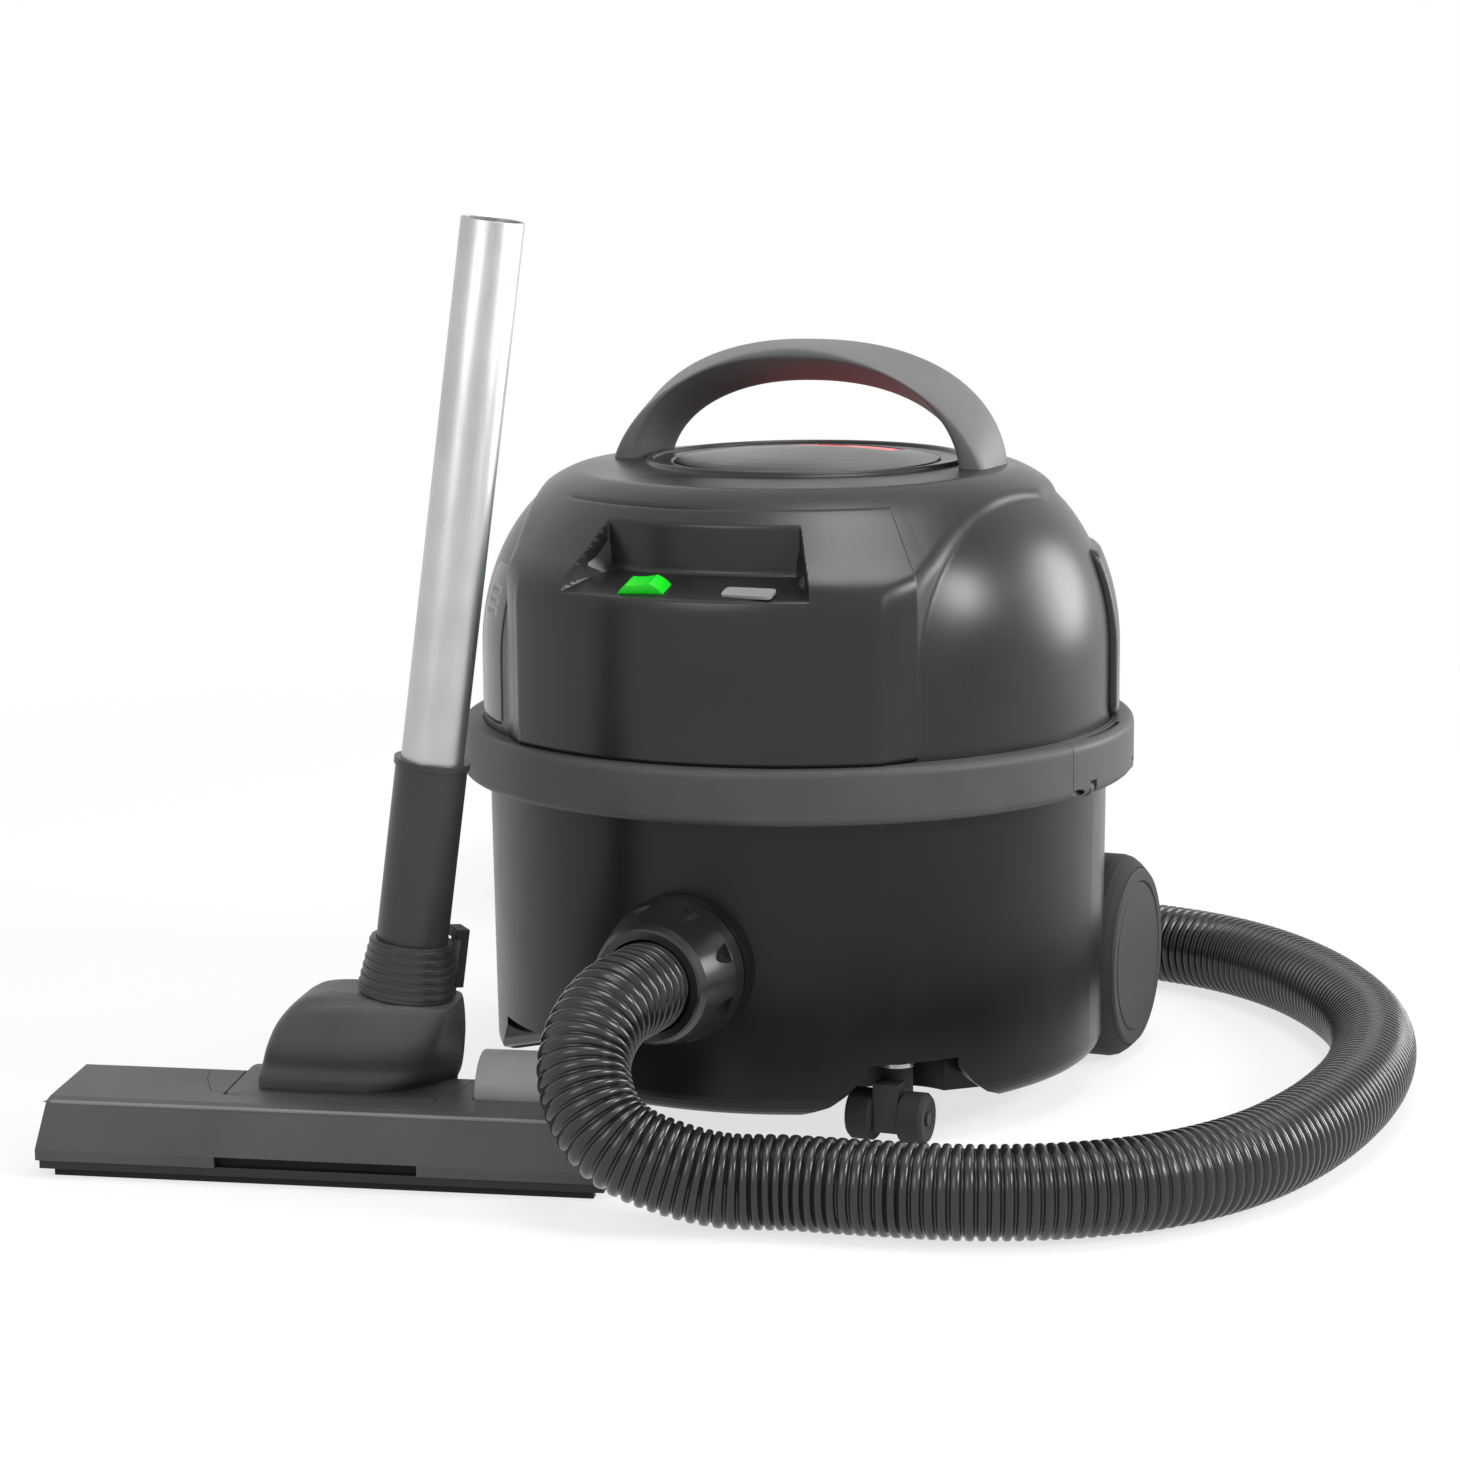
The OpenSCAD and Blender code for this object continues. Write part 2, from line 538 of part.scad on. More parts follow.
block_top = 2 * castor_r + 10;
washer_t = 2;
module at_castor(side) translate([side * castor_x, -castor_y, 0]) children();
module castor_fork(side) place() color("#19191a") at_castor(side) difference() {
    union() {
        translate([-block_w / 2, -castor_trail - castor_r * 0.6, castor_r * 0.45])
            cube([block_w, castor_trail + castor_r * 0.6 + 6, castor_r * 1.9]);
        translate([0, 0, 2 * castor_r + 0.6]) cylinder(r = block_w / 2 + 1.5, h = block_top - 2 * castor_r - 0.6);
        rod_x(-block_w / 2 - castor_w, block_w / 2 + castor_w, 3, -castor_trail, castor_r);
    }
    translate([0, 0, block_top - 14]) cylinder(d = stem_d, h = 30);
}
module castor_stem(side) place() color("#c9c9cc") at_castor(side) {
    translate([0, 0, block_top - 14]) cylinder(d = stem_d, h = stem_boss_low + stem_boss_h - 4 - block_top + 14);
    translate([0, 0, block_top]) cylinder(r = 8.5, h = washer_t);
}
module castor_wheels(side) place() color("#1b1b1c") at_castor(side)
    for (s = [-1, 1]) mirrored(s) translate([0, -castor_trail, castor_r]) rotate([0, 90, 0]) rotate_extrude() polygon([
        [3 + run_gap, block_w / 2 + 0.4], [castor_r - 1, block_w / 2 + 0.4], [castor_r, block_w / 2 + 1.4],
        [castor_r, block_w / 2 + castor_w - 2], [castor_r - 1.5, block_w / 2 + castor_w - 0.4],
        [castor_r - 5, block_w / 2 + castor_w - 0.4], [3 + run_gap, block_w / 2 + castor_w - 1.4]]);
module castor_fork_left() castor_fork(-1);
module castor_fork_right() castor_fork(1);
module castor_stem_left() castor_stem(-1);
module castor_stem_right() castor_stem(1);
module castor_wheels_left() castor_wheels(-1);
module castor_wheels_right() castor_wheels(1);

// ---------------------------------------------------------------- motor head

wall_top_z = dome_top_z - 86.5;      // where the upright wall ends and the shoulder starts
shoulder = [[0, wall_top_z], [0, wall_top_z + 48], [-28, dome_top_z - 3.5], [-56, dome_top_z]];
function dome_line(inset, low) = concat(
    [[0, low], [dome_r - inset, low]],
    [for (p = curve(shoulder, 14)) [dome_r + p[0] - inset * min(1, 1 - (p[1] - dome_top_z + 0.5) / 130),
        p[1] - inset * max(0, (p[1] - wall_top_z) / 86)]],
    [[0, dome_top_z - inset]]);
module dome_solid(inset, low) rotate_extrude($fn = 96) polygon(dome_line(inset, low));

hood_curve_low = [[0, hood_edge_z - 10], [0, hood_edge_z + 3], [-5, hood_edge_z + 7.5], [-13, hood_edge_z + 14.5]];
hood_curve_top = [[-13, hood_edge_z + 14.5], [-27, hood_edge_z + 27], [-39, dome_top_z - 3], [-59, dome_top_z - 0.2]];
module hood_solid() rotate_extrude($fn = 96) polygon(concat(
    [[0, ring_top_z + slip_gap], [hood_r, ring_top_z + slip_gap]],
    [for (p = curve(hood_curve_low, 6)) [hood_r + p[0], p[1]]],
    [for (p = curve(hood_curve_top, 8, 1)) [hood_r + p[0], p[1]]],
    [[0, dome_top_z - 0.2]]));
// Plan of the hood: straight corners in front, widening back over the shoulders of the dome
side_x = hood_half_w + 9.5;
hood_side = [[hood_half_w, -hood_r - 13], [hood_half_w, 29 - hood_r], [side_x, 43.5 - hood_r],
    [hood_r - 33, 0], [hood_r - 39, 40], [hood_r - 59, 76]];
module hood_plan() polygon(concat(hood_side, [for (i = [len(hood_side) - 1:-1:0]) [-hood_side[i][0], hood_side[i][1]]]));
hood_seam_z = dome_top_z - 9.5;
module hood_zone(grow) intersection() {
    translate([-side_x - grow, -hood_r - 43, 0]) cube([2 * (side_x + grow), 128 + grow, hood_seam_z + grow]);
    translate([0, 0, -1]) linear_extrude(400) hood_plan();
}

// The control recess: an upright back wall and a ledge that falls towards the front
ledge_back_z = hood_edge_z + 8.5;
ledge_back_y = 30 - hood_r;
ledge_slope = atan2(ledge_back_z - hood_edge_z, hood_r + ledge_back_y);
module recess_side(grow) polygon([
    [ledge_back_y - 2 + grow, hood_edge_z + 29 + grow], [ledge_back_y + grow, ledge_back_z - grow],
    [-hood_r + 0.5, hood_edge_z - grow], [-hood_r - 43, hood_edge_z - grow - 0.01],
    [-hood_r - 43, hood_edge_z + 29 + grow]]);
module recess_front(grow) polygon([
    [-recess_low_w - grow, hood_edge_z - 20], [recess_low_w + grow, hood_edge_z - 20],
    [recess_low_w + grow, hood_edge_z + 0.5], [recess_top_w + grow, hood_edge_z + 29 + grow],
    [-recess_top_w - grow, hood_edge_z + 29 + grow], [-recess_low_w - grow, hood_edge_z + 0.5]]);
module recess_void(grow) intersection() {
    translate([-100, 0, 0]) rotate([90, 0, 90]) linear_extrude(200) recess_side(grow);
    translate([0, 0, 0]) rotate([90, 0, 0]) linear_extrude(250) recess_front(grow);
}
pocket_wall = 2.5;

rocker_x = -19;
rocker_w = 30;
rocker_d = 13;
lamp_x = 32;
rocker_y = 13 - hood_r;
rocker_z = hood_edge_z + (ledge_back_z - hood_edge_z) * (rocker_y + hood_r) / (ledge_back_y + hood_r);
module on_ledge(x, y = rocker_y, lift = 0) translate([x, y, rocker_z + lift]) rotate([ledge_slope, 0, 0]) children();

module top_place() translate([0, top_set_back, 0]) children();
foot_z = dome_top_z - 9.5;
foot_w = 28;
foot_mid = handle_half - 12.5;
module foot_pockets(grow, z0, h) for (s = [-1, 1]) mirrored(s)
    translate([foot_mid - foot_w / 2 - grow, top_set_back - handle_depth / 2 - grow, z0])
        cube([foot_w + 2 * grow, handle_depth + 2 * grow, h]);

module head_dome() place() color("#2f2f31") difference() {
    union() {
        difference() {
            union() {
                dome_solid(0, dome_low_z);
                difference() {
                    intersection() {
                        hood_solid();
                        translate([0, 0, -1]) linear_extrude(400) hood_plan();
                    }
                    hood_zone(seat_gap);
                }
                top_place() translate([0, 0, foot_z - 1]) cylinder(r = rim_ring_r, h = dome_top_z + 3 - foot_z);
            }
            difference() {
                dome_solid(dome_wall, dome_low_z - 1);
                foot_pockets(3, foot_z - 3, 40);
                top_place() translate([0, 0, dome_top_z - 10]) cylinder(r = disc_r + 4, h = 20);
            }
        }
    }
    foot_pockets(0.4, foot_z, 40);
    top_place() translate([0, 0, 200]) cylinder(r = disc_r + slip_gap, h = 200);
    top_place() translate([0, 0, dome_top_z + 0.4]) cylinder(r = rim_ring_r - 4, h = 20);
    recess_void(pocket_wall + 0.6);
    on_ledge(rocker_x) translate([-rocker_w / 2 - 0.8, -rocker_d / 2 - 0.8, -20]) cube([rocker_w + 1.6, rocker_d + 1.6, 40]);
    rotate(outlet_turn) rod_y(-dome_r - 48, -dome_r + 52, outlet_bore_r, 0, outlet_z);
}

module control_hood() place() color("#303032") difference() {
    union() {
        difference() {
            intersection() {
                hood_solid();
                hood_zone(0);
            }
            dome_solid(-0.3, 100);
        }
        intersection() {
            recess_void(pocket_wall);
            hood_solid();
            translate([1.5 - hood_half_w, -hood_r, 100]) cube([2 * hood_half_w - 3, 60, hood_seam_z - 101]);
        }
    }
    recess_void(0);
    on_ledge(rocker_x) translate([-rocker_w / 2 - 0.6, -rocker_d / 2 - 0.6, -20]) cube([rocker_w + 1.2, rocker_d + 1.2, 40]);
    on_ledge(lamp_x) translate([-12.2, -4.7, -1]) cube([24.4, 9.4, 20]);
}

rear_low_z = ring_top_z + slip_gap;
rear_top_z = dome_top_z - 38.5;
vent_z = ring_top_z + 25;
module rear_cover() place() color("#232325") difference() {
    intersection() {
        rotate_extrude($fn = 96) polygon([
            [dome_r + 0.1, rear_low_z], [dome_r + rear_cover_t, rear_low_z], [dome_r + rear_cover_t, rear_top_z - 26],
            [dome_r + rear_cover_t - 2, rear_top_z - 12], [dome_r - 3, rear_top_z], [dome_r - 12, rear_top_z + 6],
            [dome_r - 12, rear_top_z - 22], [dome_r + 0.1, rear_top_z - 26]]);
        wedge(98, 262, 0, dome_top_z);
    }
    dome_solid(-0.1, 100);
    for (row = [0, 1], i = [0:6]) rotate(180 + (i - 3) * 9)
        translate([-7, -dome_r - 48, vent_z + row * 10]) cube([14, 100, 3.2]);
    rotate(outlet_turn) rod_y(-dome_r - 48, -dome_r + 52, outlet_r + run_gap, 0, outlet_z);
}
outlet_turn = 125;                   // angle of the mains outlet, round from the front
outlet_z = ring_top_z + 16;
outlet_r = 7;
outlet_bore_r = 4;
module cable_outlet() place() color("#161617") rotate(outlet_turn) difference() {
    union() {
        rod_y(-dome_r - rear_cover_t - 2.5, -dome_r - 0.12, outlet_r, 0, outlet_z);
        rod_y(-dome_r - rear_cover_t - 2.5, -dome_r - rear_cover_t, outlet_r + 2, 0, outlet_z);
    }
    rod_y(-dome_r - 48, -dome_r + 52, outlet_bore_r, 0, outlet_z);
}

// ---------------------------------------------------------------- handle

// Outline curves in the XZ plane, as powers of an ellipse: p is pi of the way over the arch
function arch(p, half, low, high, n) = [-half * sgn(cos(p)) * abs(cos(p)) ^ (2 / n), low + (high - low) * abs(sin(p)) ^ (2 / n)];
function sgn(v) = v < 0 ? -1 : 1;
grip_n = 36;
half_in = handle_half - 22;
front_y = top_set_back - handle_depth / 2;
back_y = top_set_back + handle_depth / 2;
arch_out = handle_top_z;
function handle_ring(p) =
    let (of = arch(p, handle_half, foot_z, arch_out - 2, 1.75), ob = arch(p, handle_half, foot_z, arch_out, 2.3),
         cr = arch(p, half_in + 2, foot_z, arch_out - 8, 1.9), ib = arch(p, half_in - 1, foot_z, arch_out - 23, 2.1))
    [[of[0], front_y + 2, of[1]], [of[0] * 0.4 + ob[0] * 0.6, top_set_back, of[1] * 0.4 + ob[1] * 0.6 + 0.6],
     [ob[0], back_y - 2, ob[1]], [ob[0] * 0.92 + ib[0] * 0.08, back_y, ob[1] * 0.92 + ib[1] * 0.08],
     [ib[0] * 0.92 + ob[0] * 0.08, back_y, ib[1] * 0.92 + ob[1] * 0.08], [ib[0], back_y - 2, ib[1]],
     [ib[0] * 0.5 + cr[0] * 0.5, top_set_back - 1, ib[1] * 0.5 + cr[1] * 0.5], [cr[0], front_y + 1, cr[1]],
     [cr[0] * 0.85 + of[0] * 0.15, front_y, cr[1] * 0.85 + of[1] * 0.15], [cr[0] * 0.15 + of[0] * 0.85, front_y, cr[1] * 0.15 + of[1] * 0.85]];
hs = 10;
handle_pts = [for (i = [0:grip_n]) for (q = handle_ring(180 * i / grip_n)) q];
module handle() place() color("#6a6a6c") polyhedron(
    points = handle_pts,
    faces = concat(
        [[for (k = [0:hs - 1]) k]],
        [for (i = [0:grip_n - 1], k = [0:hs - 1], h = [0, 1])
            let (a = i * hs + k, b = i * hs + (k + 1) % hs) h == 0 ? [a, a + hs, b + hs] : [a, b + hs, b]],
        [[for (k = [hs - 1:-1:0]) grip_n * hs + k]]));

// ---------------------------------------------------------------- inside the head

fan_low_z = deck_top_z;
fan_h = 30;
motor_low_z = fan_low_z + fan_h;
motor_h = 40;
post_low_z = motor_low_z + motor_h + 8;
disc_low_z = dome_top_z - 5;
drum_low_z = disc_low_z - drum_w - 8;

module motor_deck() place() color("#3a3a3c") difference() {
    union() {
        translate([0, 0, deck_low_z]) cylinder(r = deck_r, h = deck_t);
        for (a = [45:90:315]) rotate(a) translate([fan_r + 14, 0, deck_low_z]) cylinder(r = 6, h = post_low_z - deck_low_z);
    }
    translate([0, 0, deck_low_z - 1]) cylinder(r = 22, h = 20);
    for (a = [45:90:315]) rotate(a) translate([fan_r + 14, 0, post_low_z - 12]) cylinder(d = 3.4, h = 20);
}
module deck_seal() place() color("#0f0f10") ring(inner_r, lip_r + 0.5, lip_top_z + 0.02, seal_t - 0.04);
module fan_housing() place() color("#a7a7aa") difference() {
    translate([0, 0, fan_low_z]) cylinder(r = fan_r, h = fan_h);
    translate([0, 0, fan_low_z + 2]) cylinder(r = fan_r - 2, h = fan_h - 4);
    translate([0, 0, fan_low_z - 1]) cylinder(r = 20, h = 5);
    translate([0, 0, fan_low_z]) cylinder(d = shaft_d + 2, h = fan_h + 1);
    for (a = [0:30:330]) rotate(a) translate([fan_r, 0, fan_low_z + 20]) cube([8, 9, 7], center = true);
}
module fan_wheel() place() color("#c4c4c8") difference() {
    translate([0, 0, fan_low_z + 5]) union() {
        cylinder(r = fan_r - 7, h = 1.5);
        translate([0, 0, 14]) cylinder(r = fan_r - 7, h = 1.5);
        cylinder(r = 14, h = 15.5);
        for (a = [0:45:315]) rotate(a) translate([12, -1, 0]) cube([fan_r - 22, 2, 15]);
    }
    translate([0, 0, fan_low_z]) cylinder(d = shaft_d, h = fan_h);
}
module motor_shaft() place() color("#8f8f94") {
    translate([0, 0, fan_low_z + 4.5]) cylinder(d = shaft_d, h = fan_h + motor_h - 4.5 - 2.3);
    translate([0, 0, motor_low_z + 8]) cylinder(r = motor_r * 0.55, h = motor_h - 18);
}
module motor_can() place() color("#77777b") difference() {
    translate([0, 0, motor_low_z]) cylinder(r = motor_r, h = motor_h);
    translate([0, 0, motor_low_z + 3]) cylinder(r = motor_r * 0.62, h = motor_h - 8);
    translate([0, 0, motor_low_z - 1]) cylinder(d = shaft_d + 2 * run_gap, h = motor_h - 1);
}
module motor_mount() place() color("#121213") ring(motor_r + 9, motor_r, motor_low_z, 9);
module drum_post() place() color("#3a3a3c") top_place() difference() {
    union() {
        translate([0, -top_set_back, post_low_z]) cylinder(r = fan_r + 21, h = 4);
        translate([0, 0, post_low_z]) cylinder(d = post_d, h = drum_low_z + drum_w + 4 - post_low_z);
        translate([0, 0, post_low_z]) cylinder(d = post_d + 10, h = drum_low_z - slip_gap - post_low_z);
    }
    translate([0, 0, post_low_z - 1]) cylinder(d = 6, h = 100);
    translate([0, -top_set_back, 0]) for (a = [45:90:315]) rotate(a) translate([fan_r + 14, 0, 0]) cylinder(d = 3.4, h = 400);
}
module filter_ring() place() color("#1f3f77") difference() {
    translate([0, 0, deck_low_z - 10]) cylinder(r = filter_r, h = 10);
    translate([0, 0, deck_low_z - 11]) cylinder(r = filter_r - 9, h = 12);
}
module cloth_filter() place() color("#cfd2d6") translate([0, 0, deck_low_z - 10 - filter_drop]) difference() {
    cylinder(r1 = filter_r - 18, r2 = filter_r - 9.3, h = filter_drop + 6);
    translate([0, 0, 3]) cylinder(r1 = filter_r - 21, r2 = filter_r - 12.3, h = filter_drop + 6);
}
module switch_body() place() color("#202022") on_ledge(rocker_x) difference() {
    translate([-rocker_w / 2 - 0.4, -rocker_d / 2 - 0.4, -19]) cube([rocker_w + 0.8, rocker_d + 0.8, 17.5]);
    translate([-rocker_w / 2 + 0.8, -rocker_d / 2 + 0.8, -9]) cube([rocker_w - 1.6, rocker_d - 1.6, 20]);
    rod_y(-rocker_d / 2 - 3, rocker_d / 2 + 3, 1.5 + run_gap, 0, -3.6);
}
module switch_rocker() place() color("#12c81c") on_ledge(rocker_x) difference() {
    union() {
        intersection() {
            rotate([0, -6, 0]) translate([0, 0, -8]) rod_y(-rocker_d / 2 + 1, rocker_d / 2 - 1, rocker_w / 2 - 1.6, 0, 0);
            translate([-30, -30, -6]) cube([60, 60, 20]);
            rotate([0, -6, 0]) translate([-30, -30, -20]) cube([60, 60, 24.5]);
        }
        rod_y(-rocker_d / 2 - 0.3, rocker_d / 2 + 0.3, 1.5, 0, -3.6);
    }
    rotate([0, -6, 0]) rod_y(-rocker_d, rocker_d, 34, 0, 37.5);
}
module status_lamp() place() color("#d8d8da") on_ledge(lamp_x) translate([0, 0, -1])
    linear_extrude(1.6) rounded(24, 9, 2);
module head_screws() place() color("#a9a9ad")
    for (a = [45:90:315]) rotate(a) translate([fan_r + 14, 0, post_low_z - 12]) {
        cylinder(d = 3.4, h = 16);
        translate([0, 0, 16]) cylinder(d = 7, h = 2.6);
    }

// ---------------------------------------------------------------- cable winder

disc_rise = 5.5;
crank_chord = 18;                    // how far behind the disc centre the crank starts
crank_t = 4;
crank_gap = 0.4;
crank_r = disc_r - 9;
// A shallow crowned plate: its top falls from the middle to the edge along an arc
module crown(r, low, high) rotate_extrude() polygon(concat(
    [[0, low], [r, low]],
    [for (i = [8:-1:0]) let (x = r * i / 8) [x, high - crown_r + sqrt(crown_r * crown_r - x * x)]]));
crown_r = 420;
module winder_dome() crown(disc_r - 0.3, disc_low_z, dome_top_z + disc_rise);
module crank_plan(grow) intersection() {
    circle(r = crank_r + grow);
    translate([-36 - grow, crank_chord - grow]) square([72 + 2 * grow, 80]);
}
crank_z = dome_top_z - 1;            // underside of the crank in its recess
crank_hinge = crank_chord + 3.5;
hinge_h = crank_z + crank_t / 2;
module winder_disc() place() color("#2a2a2c") top_place() difference() {
    winder_dome();
    translate([0, 0, crank_z - 0.8]) linear_extrude(30) crank_plan(crank_gap);
    translate([0, 0, disc_low_z - 1]) cylinder(d = 6, h = 3);
    rod_x(-40, 40, 1.5 + run_gap, crank_hinge, hinge_h);
}
module winder_crank() place() color("#e83030") top_place() difference() {
    union() {
        intersection() {
            translate([0, 0, crank_z]) linear_extrude(20) intersection() {
                crank_plan(0);
                translate([-60, crank_hinge - 1.5]) square([120, 80]);
            }
            crown(disc_r, crank_z - 5, dome_top_z + disc_rise - 0.4);
        }
        rod_x(-39, 39, 1.5, crank_hinge, hinge_h);
    }
    translate([0, 36, crank_z + 2]) cylinder(r = 9, h = 30);
}
module cable_drum() place() color("#39393b") top_place() difference() {
    union() {
        translate([0, 0, drum_low_z]) cylinder(r = drum_r, h = 3);
        translate([0, 0, drum_low_z]) cylinder(r = post_d / 2 + 14, h = drum_w + 8 - 0.01);
        translate([0, 0, drum_low_z + 3 + drum_w - 3]) cylinder(r = drum_r, h = 3);
    }
    translate([0, 0, drum_low_z - 1]) cylinder(d = post_d + 2 * run_gap, h = drum_w + 6);
}

// ---------------------------------------------------------------- floor tool

sole_z = 4;
cover_low = 9;
front_rise = tool_h - 3.5;
module tool_side(g) polygon([
    [-tool_front + g, cover_low - 1 + g], [-tool_front + g, cover_low + 4], [-3 + g, front_rise - g], [2 + g, front_rise + 1.2 - g],
    [tool_back - 16, tool_h - g], [tool_back - 6 - g, tool_h - 4 - g], [tool_back - g, tool_h - 14], [tool_back - g, cover_low - 1 + g]]);
module tool_plan(g) {
    w = tool_w / 2 - g;
    translate([-w, -tool_front + g]) square([2 * w, tool_depth - tool_corner - g]);
    translate([-w + tool_corner - g, -tool_front + g]) square([2 * (w - tool_corner + g), tool_depth - 2 * g]);
    for (s = [-1, 1]) translate([s * (tool_w / 2 - tool_corner), tool_back - tool_corner]) circle(r = tool_corner - g);
}
module tool_block(g) intersection() {
    translate([-200, 0, 0]) rotate([90, 0, 90]) linear_extrude(400) tool_side(g);
    translate([0, 0, -1]) linear_extrude(100) tool_plan(g);
    tool_ends(g);
}
// The two ends lean in towards the top
module tool_ends(g) translate([0, 200, 0]) rotate([90, 0, 0]) linear_extrude(400) polygon([
    [-tool_w / 2 + g, 0], [-tool_w / 2 + g, 13], [-tool_w / 2 + 10 + g, 60], [tool_w / 2 - 10 - g, 60],
    [tool_w / 2 - g, 13], [tool_w / 2 - g, 0]]);
insert_t = 2.6;
module insert_plan(g) polygon([
    [-68 + g, tool_back - 4 - g], [-63 + g, 34], [-56 + g, 18 + g], [-40, 10.5 + g], [0, 4 + g], [30, 1 + g], [44 - g, 3 + g],
    [52 - g, 16], [57 - g, 40], [60 - g, tool_back - 4 - g]]);
pivot_y = 38;
pivot_z = 30;
hood_half = 48;
barrel_r = 16;
trunnion_r = 5;
pedal_x = 83;
pedal_w = 36;
pedal_y = 43;
pedal_z = tool_h - 2;
pedal_r = 19;
neck_reach = 25.2;                   // how far the hood comes forward when it tilts
ear_mid = hood_half + 4.5;           // middle of the lugs that carry the neck
module neck_room() {
    rod_x(-hood_half - 1, hood_half + 1, barrel_r + 1, pivot_y, pivot_z);
    translate([-hood_half - 1, pivot_y - neck_reach, pivot_z]) cube([2 * hood_half + 2, tool_back, 40]);
}
module pedal_room() translate([pedal_x - pedal_w / 2 - 0.6, pedal_y - 3 - pedal_r - 1.5, tool_h - 20])
    cube([pedal_w + 1.2, 2 * pedal_r + 3, 60]);
module tool_cover() place_tool() color("#454548") difference() {
    tool_block(0);
    difference() {
        union() {
            tool_block(2.4);
            translate([0, 0, cover_low - 2]) linear_extrude(5) tool_plan(2.4);
        }
        for (s = [-1, 1]) translate([s * ear_mid - 2, pivot_y - 8, cover_low - 1])
            cube([4, 16, pivot_z - 7 - slip_gap - cover_low + 1]);
        for (s = [-1, 1]) translate([pedal_x + s * (pedal_w / 2 + 3) - 2, pedal_y - 8, tool_h - 18]) cube([4, 14, 30]);
    }
    translate([0, 0, tool_h - 12]) linear_extrude(40) insert_plan(-seat_gap);
    translate([-47.5, -tool_front - 1, cover_low - 3]) cube([93, 6, 7]);
    neck_room();
    pedal_room();
    rod_x(pedal_x - pedal_w, pedal_x + pedal_w, 2 + run_gap, pedal_y - 3, pedal_z - 5);
}
module tool_insert() place_tool() color("#48484b") difference() {
    union() {
        intersection() {
            difference() { tool_block(0); tool_block(insert_t); }
            translate([0, 0, tool_h - 11.8]) linear_extrude(40) insert_plan(0);
        }
        for (s = [-1, 1]) translate([s * ear_mid - 2, pivot_y - 8, pivot_z - 7])
            cube([4, 16, tool_h - insert_t + 0.1 - pivot_z + 7]);
    }
    neck_room();
    rod_x(-80, 80, trunnion_r + run_gap, pivot_y, pivot_z);
}
slot_w = 200;
module tool_sole() place_tool() color("#2d2d2f") difference() {
    translate([0, 0, sole_z]) linear_extrude(cover_low - 1 - sole_z) tool_plan(1.4);
    translate([-slot_w / 2, 14, sole_z - 1]) cube([slot_w, 14, 10]);
    translate([-tool_w / 2 + 6, -2.8, sole_z - 1]) cube([tool_w - 12, 5.6, 10]);
    for (s = [-1, 1]) translate([s * 84 - 10, 44, sole_z - 1]) cube([20, 14, 10]);
    rod_x(-120, 120, 1.5 + run_gap, 51, 6);
}
module tool_brush() place_tool() color("#171718") difference() {
    translate([-tool_w / 2 + 7, -2.4, 0]) cube([tool_w - 14, 4.8, 13]);
    for (i = [0:5]) translate([-108 + i * 43.2, -6, 6.5]) cube([5, 3.9, 20]);
}
module tool_rollers() place_tool() color("#1b1b1c") for (s = [-1, 1]) translate([s * 84, 51, 6]) rotate([0, 90, 0]) {
    cylinder(r = 6, h = 16, center = true);
    cylinder(r = 1.5, h = 26, center = true);
}
module tool_pedal() place_tool() color("#8c8c8e") {
    translate([pedal_x, 0, 0]) intersection() {
        rod_x(-pedal_w / 2, pedal_w / 2, pedal_r, pedal_y - 3, pedal_z - 1);
        translate([-50, 0, pedal_z - 5]) cube([100, 100, 40]);
    }
    rod_x(pedal_x - pedal_w / 2 - 4, pedal_x + pedal_w / 2 + 4, 2, pedal_y - 3, pedal_z - 5);
}

// Neck: the hood tilts in the head, the sleeve turns on it, the wand is pushed into the sleeve
neck_x = 30.3;                       // where the leaning neck axis is at the top of the hood
neck_z = 80;
module on_neck() translate([neck_x, pivot_y, neck_z]) rotate([0, wand_lean, 0]) children();
sleeve_len = 108;
cuff_h = 25;
seat_depth = 26;                     // where the wand's end stands, above the neck's origin
end_len = 40;                        // the wand's top end is drawn in, so that it enters a cuff
end_in = 0.5;
module neck_hood() place_tool() color("#434346") difference() {
    union() {
        hull() {
            rod_x(-36, hood_half - 3, barrel_r, pivot_y, pivot_z, $fn = 32);
            on_neck() translate([0, 0, -6]) cylinder(r = 21, h = 6, $fn = 32);
            translate([-2, pivot_y, neck_z - 12]) sphere(r = 14, $fn = 24);
        }
        rod_x(-hood_half, hood_half, trunnion_r + 2.5, pivot_y, pivot_z);
        rod_x(-hood_half - 6, hood_half + 6, trunnion_r, pivot_y, pivot_z);
        on_neck() cylinder(r = 12, h = 18);
    }
    on_neck() translate([0, 0, pivot_z + 2 - neck_z]) cylinder(r = 10, h = neck_z - pivot_z + 40);
    translate([neck_x - 8, pivot_y, pivot_z - 4]) sphere(r = 14);
    translate([-20, pivot_y - 12, 0]) cube([56, 24, pivot_z]);
}
module neck_cuff() place_tool() color("#3c3c3f") on_neck() difference() {
    union() {
        cylinder(r1 = 21.4, r2 = 18.4, h = cuff_h);
        for (i = [0:5]) translate([0, 0, 2 + i * 3.9]) cylinder(r = 21.9 - i * 0.56, h = 2);
    }
    translate([0, 0, -1]) cylinder(r = 12 + run_gap, h = 19.3);
    translate([0, 0, 10]) cylinder(r = 10, h = 30);
    translate([0, 0, 18.3]) cylinder(r = 10.5, h = 2.5);
    translate([0, 0, cuff_h - 4]) cylinder(r = 16.2, h = 10);
}
module neck_sleeve() place_tool() color("#38383b") on_neck() translate([0, 0, cuff_h - 4]) difference() {
    union() {
        cylinder(r = 16.1, h = sleeve_len - cuff_h + 4);
        translate([0, 0, sleeve_len - cuff_h + 1]) cylinder(r = 17, h = 3);
    }
    translate([0, 0, -1]) cylinder(r = 10.5, h = 20);
    translate([0, 0, seat_depth - cuff_h + 4]) cylinder(d = wand_d + 2 * run_gap, h = sleeve_len);
}
